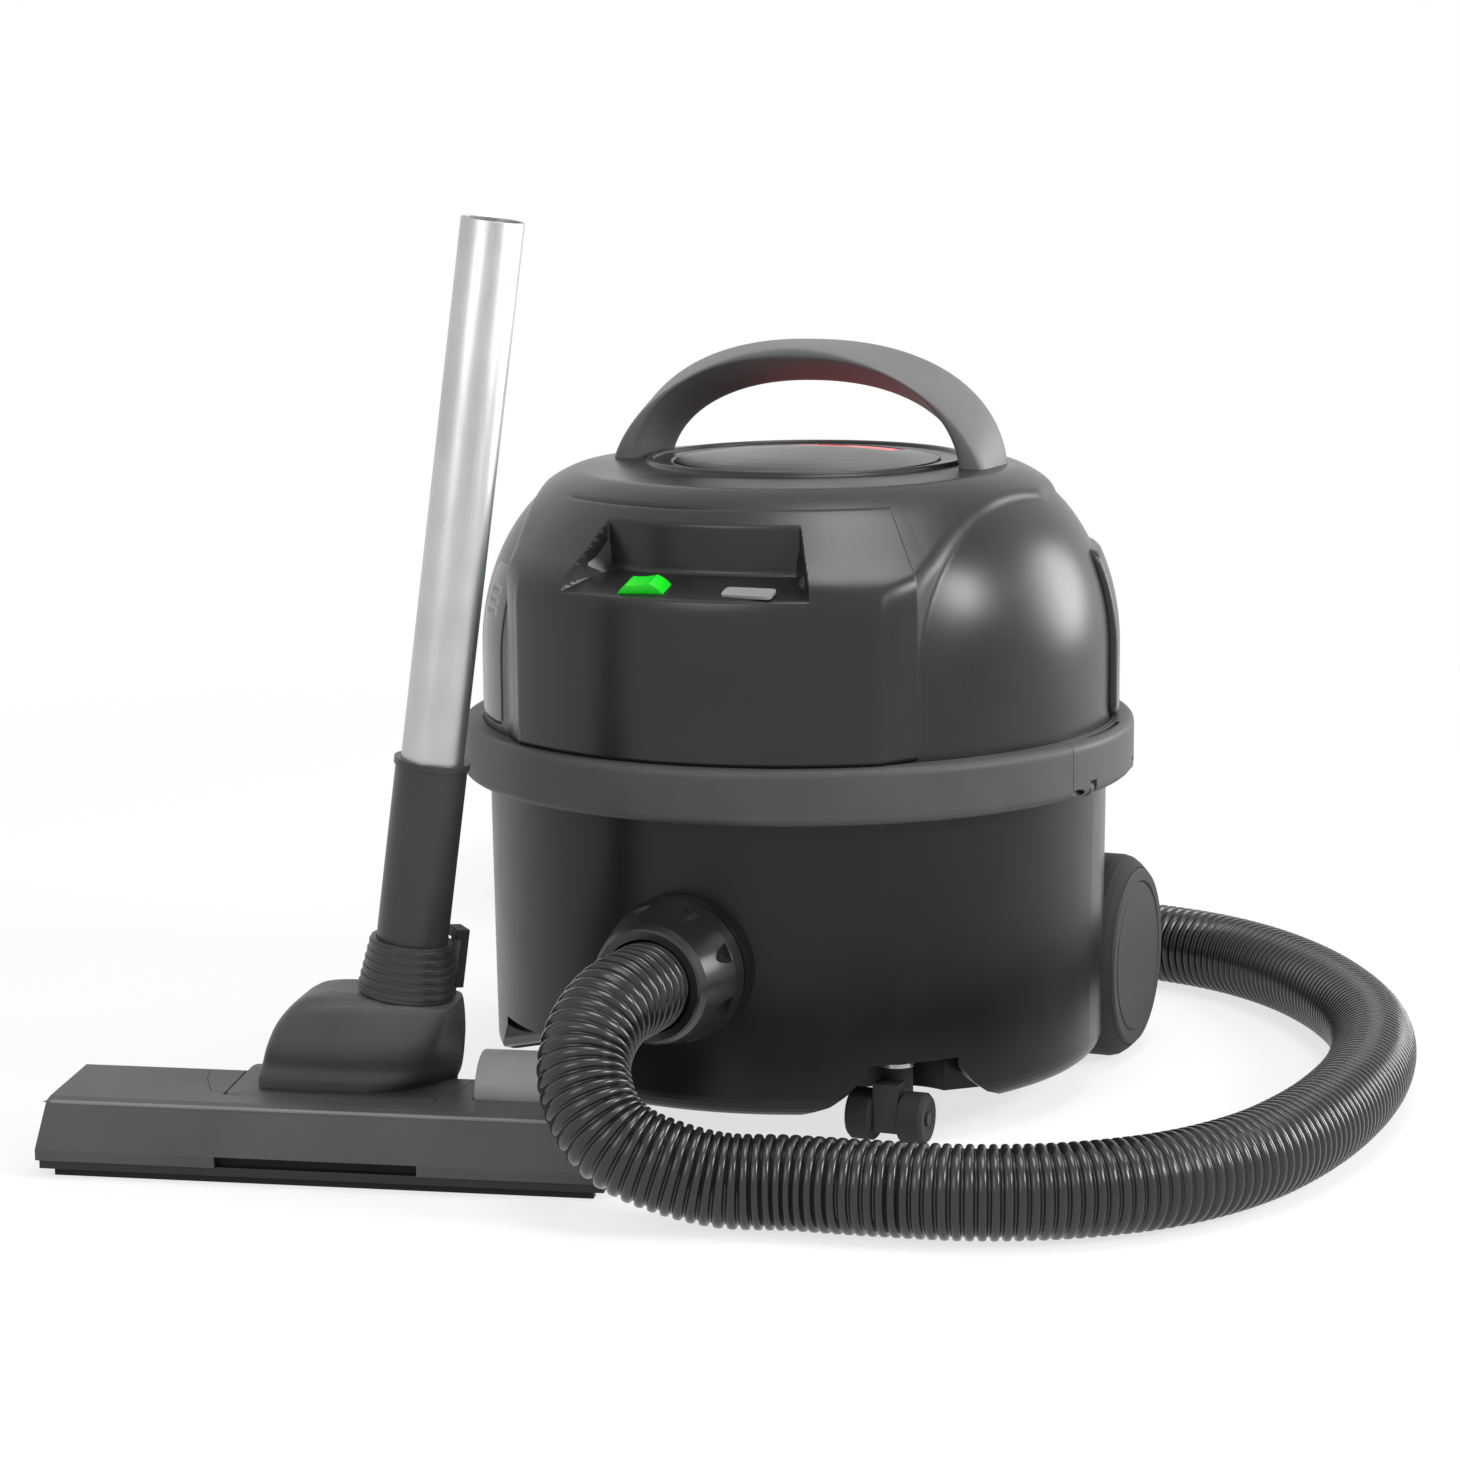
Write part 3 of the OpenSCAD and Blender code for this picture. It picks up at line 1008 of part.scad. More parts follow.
module wand_clip() place_tool() color("#232325") on_neck() rotate(40) translate([18.8, -5, 0]) difference() {
    translate([0, 0, -2]) cube([7, 10, 32]);
    translate([-2, -1, cuff_h + 0.2]) cube([3.2, 12, 20]);
    translate([3.5, -1, -7]) cube([10, 12, 10]);
    translate([-18.6, 5, -10]) cylinder(r = 22.2, h = cuff_h + 10.3);
}
module wand_tube() place_tool() color("#b5b5b8") on_neck() translate([0, 0, seat_depth]) difference() {
    union() {
        cylinder(d = wand_d, h = wand_len - end_len);
        cylinder(d = wand_d - 2 * end_in, h = wand_len);
    }
    translate([0, 0, -1]) cylinder(d = wand_d - 2 * wand_wall, h = wand_len + 2);
}

// ---------------------------------------------------------------- drawing

tub();
bumper_ring();
inlet_port();
rear_axle();
axle_clips();
latch_pins();
dust_bag();
bag_collar();
hose();
hose_end_cuff();
hose_collar();
latch_left();
latch_right();
head_dome();
control_hood();
rear_cover();
handle();
motor_deck();
deck_seal();
motor_can();
fan_housing();
motor_mount();
filter_ring();
cloth_filter();
switch_body();
status_lamp();
drum_post();
cable_outlet();
head_screws();
motor_shaft();
fan_wheel();
switch_rocker();
winder_disc();
cable_drum();
winder_crank();
wheel_left();
wheel_right();
tyre_left();
tyre_right();
cap_left();
cap_right();
castor_fork_left();
castor_fork_right();
castor_stem_left();
castor_stem_right();
castor_wheels_left();
castor_wheels_right();
tool_cover();
tool_insert();
tool_sole();
tool_brush();
tool_rollers();
tool_pedal();
neck_hood();
neck_cuff();
neck_sleeve();
wand_clip();
wand_tube();
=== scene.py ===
"""Looks of the tub vacuum cleaner: skins, finishes, hose, floor, light and camera.

Every shape is worked out in millimetres in the tub's own frame (the tub axis is X = Y = 0,
the front is -Y, the floor is Z = 0) or in the floor tool's frame, and is moved into the
frame of the whole set, in metres, when its mesh is made.
"""

from __future__ import annotations

import logging
import math
from dataclasses import dataclass
from enum import Enum
from typing import Sequence

import bpy
import numpy as np
from mathutils import Matrix, Vector

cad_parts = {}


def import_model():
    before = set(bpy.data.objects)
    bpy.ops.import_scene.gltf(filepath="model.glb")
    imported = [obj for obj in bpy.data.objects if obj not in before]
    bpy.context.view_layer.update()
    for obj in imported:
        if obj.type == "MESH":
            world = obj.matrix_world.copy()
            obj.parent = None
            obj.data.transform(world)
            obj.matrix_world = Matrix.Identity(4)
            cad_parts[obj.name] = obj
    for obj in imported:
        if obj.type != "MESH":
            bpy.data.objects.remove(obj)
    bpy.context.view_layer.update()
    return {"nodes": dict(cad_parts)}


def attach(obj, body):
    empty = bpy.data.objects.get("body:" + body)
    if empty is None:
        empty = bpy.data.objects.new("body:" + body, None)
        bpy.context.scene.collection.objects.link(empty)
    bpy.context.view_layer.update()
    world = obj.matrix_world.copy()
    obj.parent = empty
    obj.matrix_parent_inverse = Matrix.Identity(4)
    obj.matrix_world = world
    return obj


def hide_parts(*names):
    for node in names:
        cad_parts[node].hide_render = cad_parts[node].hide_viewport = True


LOG = logging.getLogger("tub_vacuum")
MM = 0.001
TUB_AXIS = np.array([52.787297, 64.367640, 0.0])
TOOL_ORIGIN = np.array([-129.5, -257.5, 0.0])
TOOL_YAW = math.radians(11.4)
WAND_LEAN = math.radians(7.8)
NECK_ORIGIN = np.array([30.3, 38.0, 80.0])


class Place(Enum):
    """The frame in which a shape's points are given."""

    TUB = "tub"
    TOOL = "tool"
    NECK = "neck"


def linear(colour: str) -> tuple[float, float, float]:
    """Screen colour to linear light: each channel is raised by the usual 2.4 power curve.

    Args:
        colour: Six hexadecimal digits.

    Returns:
        Red, green and blue in linear light.
    """
    raw = [int(colour[i : i + 2], 16) / 255 for i in (0, 2, 4)]
    return tuple(c / 12.92 if c <= 0.04045 else ((c + 0.055) / 1.055) ** 2.4 for c in raw)


def placed(points: np.ndarray, place: Place) -> np.ndarray:
    """Points of a shape's own frame, in the frame of the whole set.

    Args:
        points: Array whose last axis is x, y, z in millimetres.
        place: The frame that the points are given in.

    Returns:
        The same array in metres, turned and moved into place.
    """
    p = np.asarray(points, float)
    if place is Place.NECK:
        c, s = math.cos(WAND_LEAN), math.sin(WAND_LEAN)
        p = np.stack([p[..., 0] * c + p[..., 2] * s, p[..., 1], -p[..., 0] * s + p[..., 2] * c], -1)
        p = p + NECK_ORIGIN
    if place is not Place.TUB:
        c, s = math.cos(TOOL_YAW), math.sin(TOOL_YAW)
        p = np.stack([p[..., 0] * c - p[..., 1] * s, p[..., 0] * s + p[..., 1] * c, p[..., 2]], -1)
        p = p + TOOL_ORIGIN
    return (p + TUB_AXIS) * MM


def smooth_least(a: np.ndarray, b: np.ndarray, k: float) -> np.ndarray:
    """Lesser of two fields, with the corner between them rounded over the width k."""
    h = np.clip(0.5 + 0.5 * (b - a) / k, 0, 1)
    return b * (1 - h) + a * h - k * h * (1 - h)


def smooth_most(a: np.ndarray, b: np.ndarray, k: float) -> np.ndarray:
    """Greater of two fields, with the corner between them rounded over the width k."""
    return -smooth_least(-a, -b, k)


def smooth_line(at: np.ndarray, stops: np.ndarray, values: np.ndarray) -> np.ndarray:
    """A smooth curve through given values: cubic spans whose slopes come from the neighbours.

    Args:
        at: Where the curve is read.
        stops: Where the values are given, rising.
        values: The values.

    Returns:
        The values of the curve.
    """
    slope = np.gradient(values, stops)
    i = np.clip(np.searchsorted(stops, at, side="right") - 1, 0, len(stops) - 2)
    w = stops[i + 1] - stops[i]
    t = (at - stops[i]) / w
    a = (1 + 2 * t) * (1 - t) ** 2 * values[i] + t * (1 - t) ** 2 * w * slope[i]
    return a + t * t * (3 - 2 * t) * values[i + 1] + t * t * (t - 1) * w * slope[i + 1]


def bezier(points: Sequence[Sequence[float]], n: int) -> np.ndarray:
    """A cubic curve: each point is the four given ones weighted by the Bernstein polynomials."""
    p = np.asarray(points, float)
    t = np.linspace(0, 1, n)[:, None]
    return (1 - t) ** 3 * p[0] + 3 * t * (1 - t) ** 2 * p[1] + 3 * t * t * (1 - t) * p[2] + t**3 * p[3]


def ring_faces(rows: int, cols: int, loop_rows: bool) -> np.ndarray:
    """Four-sided faces of rows of points, each row closed round.

    Args:
        rows: How many rows there are.
        cols: How many points each row has.
        loop_rows: True joins the last row to the first one.

    Returns:
        An array of four point numbers for each face.
    """
    last = rows if loop_rows else rows - 1
    i, j = np.meshgrid(np.arange(last), np.arange(cols), indexing="ij")
    a = i * cols + j
    b = i * cols + (j + 1) % cols
    c = ((i + 1) % rows) * cols + (j + 1) % cols
    d = ((i + 1) % rows) * cols + j
    return np.stack([a, b, c, d], -1).reshape(-1, 4)


def grid_faces(rows: int, cols: int) -> np.ndarray:
    """Four-sided faces of rows of points that stay open at all four borders."""
    i, j = np.meshgrid(np.arange(rows - 1), np.arange(cols - 1), indexing="ij")
    first = i * cols + j
    return np.stack([first, first + 1, first + cols + 1, first + cols], -1).reshape(-1, 4)


def rounded_square(sides: int, power: float) -> tuple[np.ndarray, np.ndarray]:
    """Points round a square of half width one: cosine and sine, each raised to a low power.

    Args:
        sides: How many points there are.
        power: The power; the lower it is, the tighter the corners are.

    Returns:
        The two coordinates of the points.
    """
    a = np.linspace(0, 2 * np.pi, sides, endpoint=False)
    return np.sign(np.cos(a)) * np.abs(np.cos(a)) ** power, np.sign(np.sin(a)) * np.abs(np.sin(a)) ** power


def fan_faces(first: int, cols: int, middle: int) -> np.ndarray:
    """Three-sided faces from a closed row of points to one middle point, doubled to four numbers."""
    j = np.arange(cols)
    return np.stack([first + j, first + (j + 1) % cols, np.full(cols, middle), np.full(cols, -1)], -1)


def piece(
    name: str, points: np.ndarray, faces: np.ndarray, place: Place, crease: float = 35
) -> bpy.types.Object:
    """A mesh object at the origin, its place in its mesh, with faces that point outwards.

    Args:
        name: The piece's name.
        points: One row of x, y, z in millimetres for each point.
        faces: Four point numbers for each face; a last number of -1 makes it three-sided.
        place: The frame of the points.
        crease: Faces that meet at more than this many degrees keep a crisp edge.

    Returns:
        The new object.
    """
    co = placed(points.reshape(-1, 3), place)
    faces = np.asarray(faces, int)
    tri = np.where(faces[:, 3:4] < 0, faces[:, 2:3], faces[:, 3:4])
    a, b, c, d = (co[faces[:, 0]], co[faces[:, 1]], co[faces[:, 2]], co[tri[:, 0]])
    volume = np.einsum("ij,ij->i", a, np.cross(b, c) + np.cross(c, d)).sum()
    sizes = np.where(faces[:, 3] < 0, 3, 4)
    if volume < 0:
        faces = np.where(
            (faces[:, 3:4] < 0), faces[:, [0, 2, 1, 3]], faces[:, [0, 3, 2, 1]]
        )
    loops = faces.reshape(-1)
    loops = loops[loops >= 0]
    mesh = bpy.data.meshes.new(name)
    mesh.vertices.add(len(co))
    mesh.vertices.foreach_set("co", co.astype(np.float32).ravel())
    mesh.loops.add(len(loops))
    mesh.loops.foreach_set("vertex_index", loops.astype(np.int32))
    mesh.polygons.add(len(faces))
    mesh.polygons.foreach_set("loop_start", np.r_[0, np.cumsum(sizes)[:-1]].astype(np.int32))
    mesh.update(calc_edges=True)
    mesh.validate()
    mesh.shade_smooth()
    mesh.set_sharp_from_angle(angle=math.radians(crease))
    made = bpy.data.objects.new(name, mesh)
    bpy.context.scene.collection.objects.link(made)
    return made


def lofted(
    name: str, rings: np.ndarray, place: Place, hollow: bool = False, crease: float = 35
) -> bpy.types.Object:
    """A solid from closed rings of points: capped at both ends, or joined last to first.

    Args:
        name: The piece's name.
        rings: Array of rings, points round each ring, and x, y, z in millimetres.
        place: The frame of the points.
        hollow: True joins the last ring to the first one, which makes a tube with a wall.
        crease: Angle in degrees above which an edge stays crisp.

    Returns:
        The new object.
    """
    rows, cols = rings.shape[:2]
    points = rings.reshape(-1, 3)
    faces = ring_faces(rows, cols, hollow)
    if not hollow:
        points = np.vstack([points, rings[0].mean(0), rings[-1].mean(0)])
        start = fan_faces(0, cols, rows * cols)[:, [1, 0, 2, 3]]
        end = fan_faces((rows - 1) * cols, cols, rows * cols + 1)
        faces = np.vstack([faces, start, end])
    return piece(name, points, faces, place, crease)


def turned(profile: Sequence[Sequence[float]], cols: int) -> np.ndarray:
    """Rings of a turned shape: each profile point is carried round the upright axis.

    Args:
        profile: Radius and height for each ring.
        cols: Points round each ring.

    Returns:
        The rings as an array.
    """
    r, h = (np.asarray(profile, float)[:, k, None] for k in (0, 1))
    t = np.linspace(0, 2 * np.pi, cols, endpoint=False)
    return np.stack([-r * np.sin(t), r * np.cos(t), np.repeat(h, cols, 1)], -1)


# ---------------------------------------------------------------- finishes


@dataclass(frozen=True)
class Moulding:
    """A moulded or rubber finish: colour with faint mottling, fine grain, soft edges, and paler edges for rubbed wear
    and a painted edge highlight.

    Attributes:
        name: Name of the material.
        colour: Screen colour, as six hexadecimal digits.
        roughness: Mean roughness; it varies a little over the surface.
        grain: Size of the moulded grain in millimetres.
        relief: Height of the grain in millimetres.
        shine: Specular level.
        edge: Radius in millimetres to which crisp edges look rounded.
        mottle: How far the colour wanders, as a share.
        wear_and_painted_highlight: How much paler the edges are painted, for rubbed wear and a painted highlight, as a
            share.
    """

    name: str
    colour: str
    roughness: float
    grain: float = 0.8
    relief: float = 0.01
    shine: float = 0.4
    edge: float = 0.5
    mottle: float = 0.12
    wear_and_painted_highlight: float = 0.25

    def make(self) -> bpy.types.Material:
        """Builds the node tree.

        Returns:
            The material, made once for each name.
        """
        if self.name in bpy.data.materials:
            return bpy.data.materials[self.name]
        mat, tree, bsdf = shader(self.name)
        bsdf.inputs["Specular IOR Level"].default_value = self.shine
        where = tree.nodes.new("ShaderNodeTexCoord")
        cloud = noise(tree, where, 22.0, 4.0)
        grain = noise(tree, where, 1000 / self.grain, 2.0)
        base = linear(self.colour)
        low = [c * (1 - self.mottle) for c in base]
        high = [c * (1 + self.mottle) + 0.0015 for c in base]
        tone = ramp(tree, cloud, [(0.3, low), (0.7, high)])
        soft = soft_edges(tree, self.edge)
        # Paler edges: partly rubbed wear, partly a painted highlight where rounded edges catch the light.
        if self.wear_and_painted_highlight > 0:
            tone = rubbed_edges_and_painted_highlight(tree, soft, tone, [min(1, c * (1 + 3 * self.wear_and_painted_highlight) + 0.03 * self.wear_and_painted_highlight) for c in base])
        tree.links.new(tone, bsdf.inputs["Base Color"])
        span(tree, cloud, bsdf.inputs["Roughness"], self.roughness * 0.88, min(1, self.roughness * 1.14))
        roughen(tree, bsdf, grain, self.relief, 0.6, soft)
        return mat


@dataclass(frozen=True)
class Metal:
    """A drawn or turned metal, with fine scratches along one direction.

    Attributes:
        name: Name of the material.
        colour: Screen colour, as six hexadecimal digits.
        roughness: Mean roughness.
        stretch: Pattern size along x, y and z in millimetres, after turning.
        turn: Turn of the pattern's axes about X, Y and Z, in degrees.
        relief: Depth of the scratches in millimetres.
        edge: Radius in millimetres to which crisp edges look rounded.
    """

    name: str
    colour: str
    roughness: float
    stretch: tuple[float, float, float] = (0.6, 0.6, 60.0)
    turn: tuple[float, float, float] = (0.0, 0.0, 0.0)
    relief: float = 0.004
    edge: float = 0.3

    def make(self) -> bpy.types.Material:
        """Builds the node tree.

        Returns:
            The material, made once for each name.
        """
        if self.name in bpy.data.materials:
            return bpy.data.materials[self.name]
        mat, tree, bsdf = shader(self.name)
        bsdf.inputs["Metallic"].default_value = 1.0
        where = tree.nodes.new("ShaderNodeTexCoord")
        turn = tree.nodes.new("ShaderNodeMapping")
        turn.inputs["Rotation"].default_value = [math.radians(a) for a in self.turn]
        tree.links.new(where.outputs["Object"], turn.inputs["Vector"])
        size = tree.nodes.new("ShaderNodeMapping")
        size.inputs["Scale"].default_value = [1000 / s for s in self.stretch]
        tree.links.new(turn.outputs["Vector"], size.inputs["Vector"])
        scratch = tree.nodes.new("ShaderNodeTexNoise")
        scratch.inputs["Scale"].default_value = 1.0
        scratch.inputs["Detail"].default_value = 3.0
        tree.links.new(size.outputs["Vector"], scratch.inputs["Vector"])
        cloud = noise(tree, where, 30.0, 3.0)
        base = linear(self.colour)
        tone = ramp(tree, cloud, [(0.3, [c * 0.9 for c in base]), (0.7, [min(1, c * 1.06) for c in base])])
        tree.links.new(tone, bsdf.inputs["Base Color"])
        span(tree, scratch, bsdf.inputs["Roughness"], self.roughness * 0.8, min(1, self.roughness * 1.25))
        soft = soft_edges(tree, self.edge)
        roughen(tree, bsdf, scratch, self.relief, 0.5, soft)
        return mat


@dataclass(frozen=True)
class Cloth:
    """A woven or felted finish: crossed threads, fuzz and uneven colour.

    Attributes:
        name: Name of the material.
        colour: Screen colour, as six hexadecimal digits.
        thread: Width of a thread in millimetres.
    """

    name: str
    colour: str
    thread: float = 0.7

    def make(self) -> bpy.types.Material:
        """Builds the node tree.

        Returns:
            The material, made once for each name.
        """
        if self.name in bpy.data.materials:
            return bpy.data.materials[self.name]
        mat, tree, bsdf = shader(self.name)
        bsdf.inputs["Sheen Weight"].default_value = 0.3
        where = tree.nodes.new("ShaderNodeTexCoord")
        cloud = noise(tree, where, 40.0, 5.0)
        base = linear(self.colour)
        tone = ramp(tree, cloud, [(0.3, [c * 0.8 for c in base]), (0.7, [min(1, c * 1.12) for c in base])])
        tree.links.new(tone, bsdf.inputs["Base Color"])
        weave = tree.nodes.new("ShaderNodeTexWave")
        weave.inputs["Scale"].default_value = 160 / self.thread
        weave.inputs["Distortion"].default_value = 1.5
        tree.links.new(where.outputs["Object"], weave.inputs["Vector"])
        span(tree, weave, bsdf.inputs["Roughness"], 0.8, 0.98)
        roughen(tree, bsdf, weave, 0.15, 0.7)
        return mat


def shader(name: str) -> tuple[bpy.types.Material, bpy.types.NodeTree, bpy.types.Node]:
    """A new material, its node tree and its one surface shader."""
    mat = bpy.data.materials.new(name)
    mat.use_nodes = True
    return mat, mat.node_tree, mat.node_tree.nodes["Principled BSDF"]


def soft_edges(tree: bpy.types.NodeTree, radius: float) -> bpy.types.Node:
    """A normal that rounds crisp edges to a radius in millimetres."""
    made = tree.nodes.new("ShaderNodeBevel")
    made.samples = 4
    made.inputs["Radius"].default_value = radius * MM
    return made


def roughen(
    tree: bpy.types.NodeTree, bsdf: bpy.types.Node, pattern: bpy.types.Node, height: float, strength: float,
    soft: bpy.types.Node | None = None,
) -> None:
    """Raises the surface by a pattern.

    Args:
        tree: The material's node tree.
        bsdf: The surface shader.
        pattern: The node whose value is the height.
        height: The greatest height in millimetres.
        strength: How strongly it shows.
        soft: The node that gives the softened normal, where there is one.
    """
    bump = tree.nodes.new("ShaderNodeBump")
    bump.inputs["Distance"].default_value = height * MM
    bump.inputs["Strength"].default_value = strength
    tree.links.new(pattern.outputs["Fac"], bump.inputs["Height"])
    if soft is not None:
        tree.links.new(soft.outputs["Normal"], bump.inputs["Normal"])
    tree.links.new(bump.outputs["Normal"], bsdf.inputs["Normal"])


def noise(tree: bpy.types.NodeTree, where: bpy.types.Node, scale: float, detail: float) -> bpy.types.Node:
    """A noise pattern on the object's own coordinates, in patches per metre."""
    made = tree.nodes.new("ShaderNodeTexNoise")
    made.inputs["Scale"].default_value = scale
    made.inputs["Detail"].default_value = detail
    tree.links.new(where.outputs["Object"], made.inputs["Vector"])
    return made


def ramp(
    tree: bpy.types.NodeTree, source: bpy.types.Node, stops: Sequence[tuple[float, Sequence[float]]]
) -> bpy.types.NodeSocket:
    """Colours laid along a pattern's value; returns the colour socket."""
    made = tree.nodes.new("ShaderNodeValToRGB")
    for element, (at, colour) in zip(made.color_ramp.elements, stops):
        element.position = at
        element.color = (*colour, 1)
    tree.links.new(source.outputs["Fac"], made.inputs["Fac"])
    return made.outputs["Color"]


def span(
    tree: bpy.types.NodeTree, source: bpy.types.Node, target: bpy.types.NodeSocket, low: float, high: float
) -> None:
    """Stretches a pattern's middle values between two numbers and sends them to a socket."""
    made = tree.nodes.new("ShaderNodeMapRange")
    made.inputs["From Min"].default_value = 0.3
    made.inputs["From Max"].default_value = 0.7
    made.inputs["To Min"].default_value = low
    made.inputs["To Max"].default_value = high
    tree.links.new(source.outputs["Fac"], made.inputs["Value"])
    tree.links.new(made.outputs["Result"], target)


def rubbed_edges_and_painted_highlight(
    tree: bpy.types.NodeTree, soft: bpy.types.Node, tone: bpy.types.NodeSocket, pale: Sequence[float]
) -> bpy.types.NodeSocket:
    """Paler colour where the softened surface turns away from the true one, which is at edges: rubbed wear and a
    painted edge highlight.

    Args:
        tree: The material's node tree.
        soft: The node that gives the softened normal.
        tone: The colour away from edges.
        pale: The colour of an edge, rubbed and with a painted highlight.

    Returns:
        The mixed colour socket.
    """
    shape = tree.nodes.new("ShaderNodeNewGeometry")
    dot = tree.nodes.new("ShaderNodeVectorMath")
    dot.operation = "DOT_PRODUCT"
    tree.links.new(soft.outputs["Normal"], dot.inputs[0])
    tree.links.new(shape.outputs["Normal"], dot.inputs[1])
    turn = tree.nodes.new("ShaderNodeMapRange")
    turn.inputs["From Min"].default_value = 0.995
    turn.inputs["From Max"].default_value = 0.85
    turn.inputs["To Max"].default_value = 0.5
    tree.links.new(dot.outputs["Value"], turn.inputs["Value"])
    mix = tree.nodes.new("ShaderNodeMix")
    mix.data_type = "RGBA"
    tree.links.new(turn.outputs["Result"], mix.inputs["Factor"])
    tree.links.new(tone, mix.inputs[6])
    mix.inputs[7].default_value = (*pale, 1)
    return mix.outputs[2]


TUB_BLACK = Moulding("tub_black", "121213", 0.32, grain=1.2, relief=0.003, shine=0.3, wear_and_painted_highlight=0.15)
HEAD_BLACK = Moulding("head_black", "19191b", 0.3, grain=1.0, relief=0.003, shine=0.42, wear_and_painted_highlight=0.1)
PANEL_BLACK = Moulding("panel_black", "0f0f10", 0.16, grain=1.5, relief=0.002, shine=0.5)
RING_GREY = Moulding("ring_grey", "434344", 0.5, grain=0.7, relief=0.012, shine=0.35)
GRIP_GREY = Moulding("grip_grey", "666667", 0.48, grain=0.7, relief=0.012, shine=0.35)
HOSE_BLACK = Moulding("hose_black", "1e1e1f", 0.22, grain=1.6, relief=0.004, shine=0.5, wear_and_painted_highlight=0.0, edge=0.1)
COLLAR_BLACK = Moulding("collar_black", "111112", 0.12, grain=2.0, relief=0.001, shine=0.6, edge=0.8)
TYRE_BLACK = Moulding("tyre_black", "1a1a1a", 0.62, grain=0.5, relief=0.03, shine=0.3)
HUB_BLACK = Moulding("hub_black", "232324", 0.42, grain=0.8, relief=0.008, shine=0.4)
DISC_BLACK = Moulding("disc_black", "171718", 0.3, grain=0.9, relief=0.004, shine=0.5)
DECK_GREY = Moulding("deck_grey", "3a3a3b", 0.55)
SEAL_BLACK = Moulding("seal_black", "101010", 0.75, grain=0.5, relief=0.03)
TOOL_GREY = Moulding("tool_grey", "454546", 0.46, grain=0.6, relief=0.012, shine=0.35, wear_and_painted_highlight=0.3)
SOLE_BLACK = Moulding("sole_black", "161616", 0.5)
SLEEVE_BLACK = Moulding("sleeve_black", "2d2d2e", 0.38, grain=0.9, relief=0.006)
# Paler grey of the tool's front lip: a painted highlight along the edge where light catches it.
LIP_GREY_PAINTED_HIGHLIGHT = Moulding("lip_grey", "6e6e70", 0.4, grain=0.7, relief=0.006, shine=0.45, wear_and_painted_highlight=0.2)
PEDAL_GREY = Moulding("pedal_grey", "858586", 0.42, grain=0.7, relief=0.008)
SWITCH_GREEN = Moulding("switch_green", "08d419", 0.3, grain=1.0, relief=0.003, mottle=0.05, wear_and_painted_highlight=0.05)
CRANK_RED = Moulding("crank_red", "ee2d30", 0.28, grain=1.0, relief=0.003, mottle=0.05, wear_and_painted_highlight=0.05)
MARK_PALE = Moulding("mark_pale", "8a8a8a", 0.5, wear_and_painted_highlight=0.0)
FRAME_BLUE = Moulding("frame_blue", "223c70", 0.5)
BAG_CARD = Moulding("bag_card", "b99a6b", 0.85, grain=0.6, relief=0.05, wear_and_painted_highlight=0.1)
BRISTLE = Cloth("bristle", "141414", 0.35)
BAG_PAPER = Cloth("bag_paper", "d2cabb", 0.8)
FILTER_CLOTH = Cloth("filter_cloth", "d8dadd", 0.9)
BRIGHT_STEEL = Metal("bright_steel", "c4c4c8", 0.24, stretch=(1, 1, 1))
CAST_ALLOY = Metal("cast_alloy", "a9a9ad", 0.42, stretch=(1.2, 1.2, 1.2), relief=0.02)
WAND_STEEL = Metal("wand_steel", "b9b9ba", 0.36, stretch=(0.5, 0.5, 90), turn=(0, -7.8, -11.4), relief=0.003)

CARRIED = {
    TUB_BLACK: ["tub", "inlet_port"],
    RING_GREY: ["bumper_ring", "latch_left", "latch_right"],
    BRIGHT_STEEL: [
        "rear_axle", "axle_clips", "latch_pins", "castor_stem_left", "castor_stem_right", "head_screws", "motor_shaft",
    ],
    BAG_PAPER: ["dust_bag"],
    BAG_CARD: ["bag_collar"],
    COLLAR_BLACK: ["hose_collar"],
    HEAD_BLACK: ["head_dome", "control_hood"],
    PANEL_BLACK: ["rear_cover", "cable_outlet", "switch_body"],
    GRIP_GREY: ["handle"],
    DECK_GREY: ["motor_deck", "drum_post", "cable_drum"],
    SEAL_BLACK: ["deck_seal", "motor_mount"],
    CAST_ALLOY: ["motor_can", "fan_housing", "fan_wheel"],
    FRAME_BLUE: ["filter_ring"],
    FILTER_CLOTH: ["cloth_filter"],
    MARK_PALE: ["status_lamp"],
    SWITCH_GREEN: ["switch_rocker"],
    DISC_BLACK: ["winder_disc"],
    CRANK_RED: ["winder_crank"],
    HUB_BLACK: [
        "wheel_left", "wheel_right", "cap_left", "cap_right", "castor_fork_left", "castor_fork_right", "hose_end_cuff",
    ],
    TYRE_BLACK: ["tyre_left", "tyre_right", "castor_wheels_left", "castor_wheels_right", "tool_rollers"],
    TOOL_GREY: ["tool_cover", "tool_insert", "neck_hood"],
    SOLE_BLACK: ["tool_sole", "wand_clip"],
    BRISTLE: ["tool_brush"],
    PEDAL_GREY: ["tool_pedal"],
    SLEEVE_BLACK: ["neck_cuff", "neck_sleeve"],
    WAND_STEEL: ["wand_tube"],
    HOSE_BLACK: ["hose"],
}


def dress(made: bpy.types.Object, finish: Moulding | Metal | Cloth) -> None:
    """Gives a piece its one finish."""
    made.data.materials.clear()
    made.data.materials.append(finish.make())


def dress_carried(nodes: dict[str, bpy.types.Object]) -> None:
    """Gives every solid of the frame its finish.

    Args:
        nodes: The frame's solids by name.
    """
    for finish, names in CARRIED.items():
        for name in names:
            dress(nodes[name], finish)


# ---------------------------------------------------------------- camera and hose


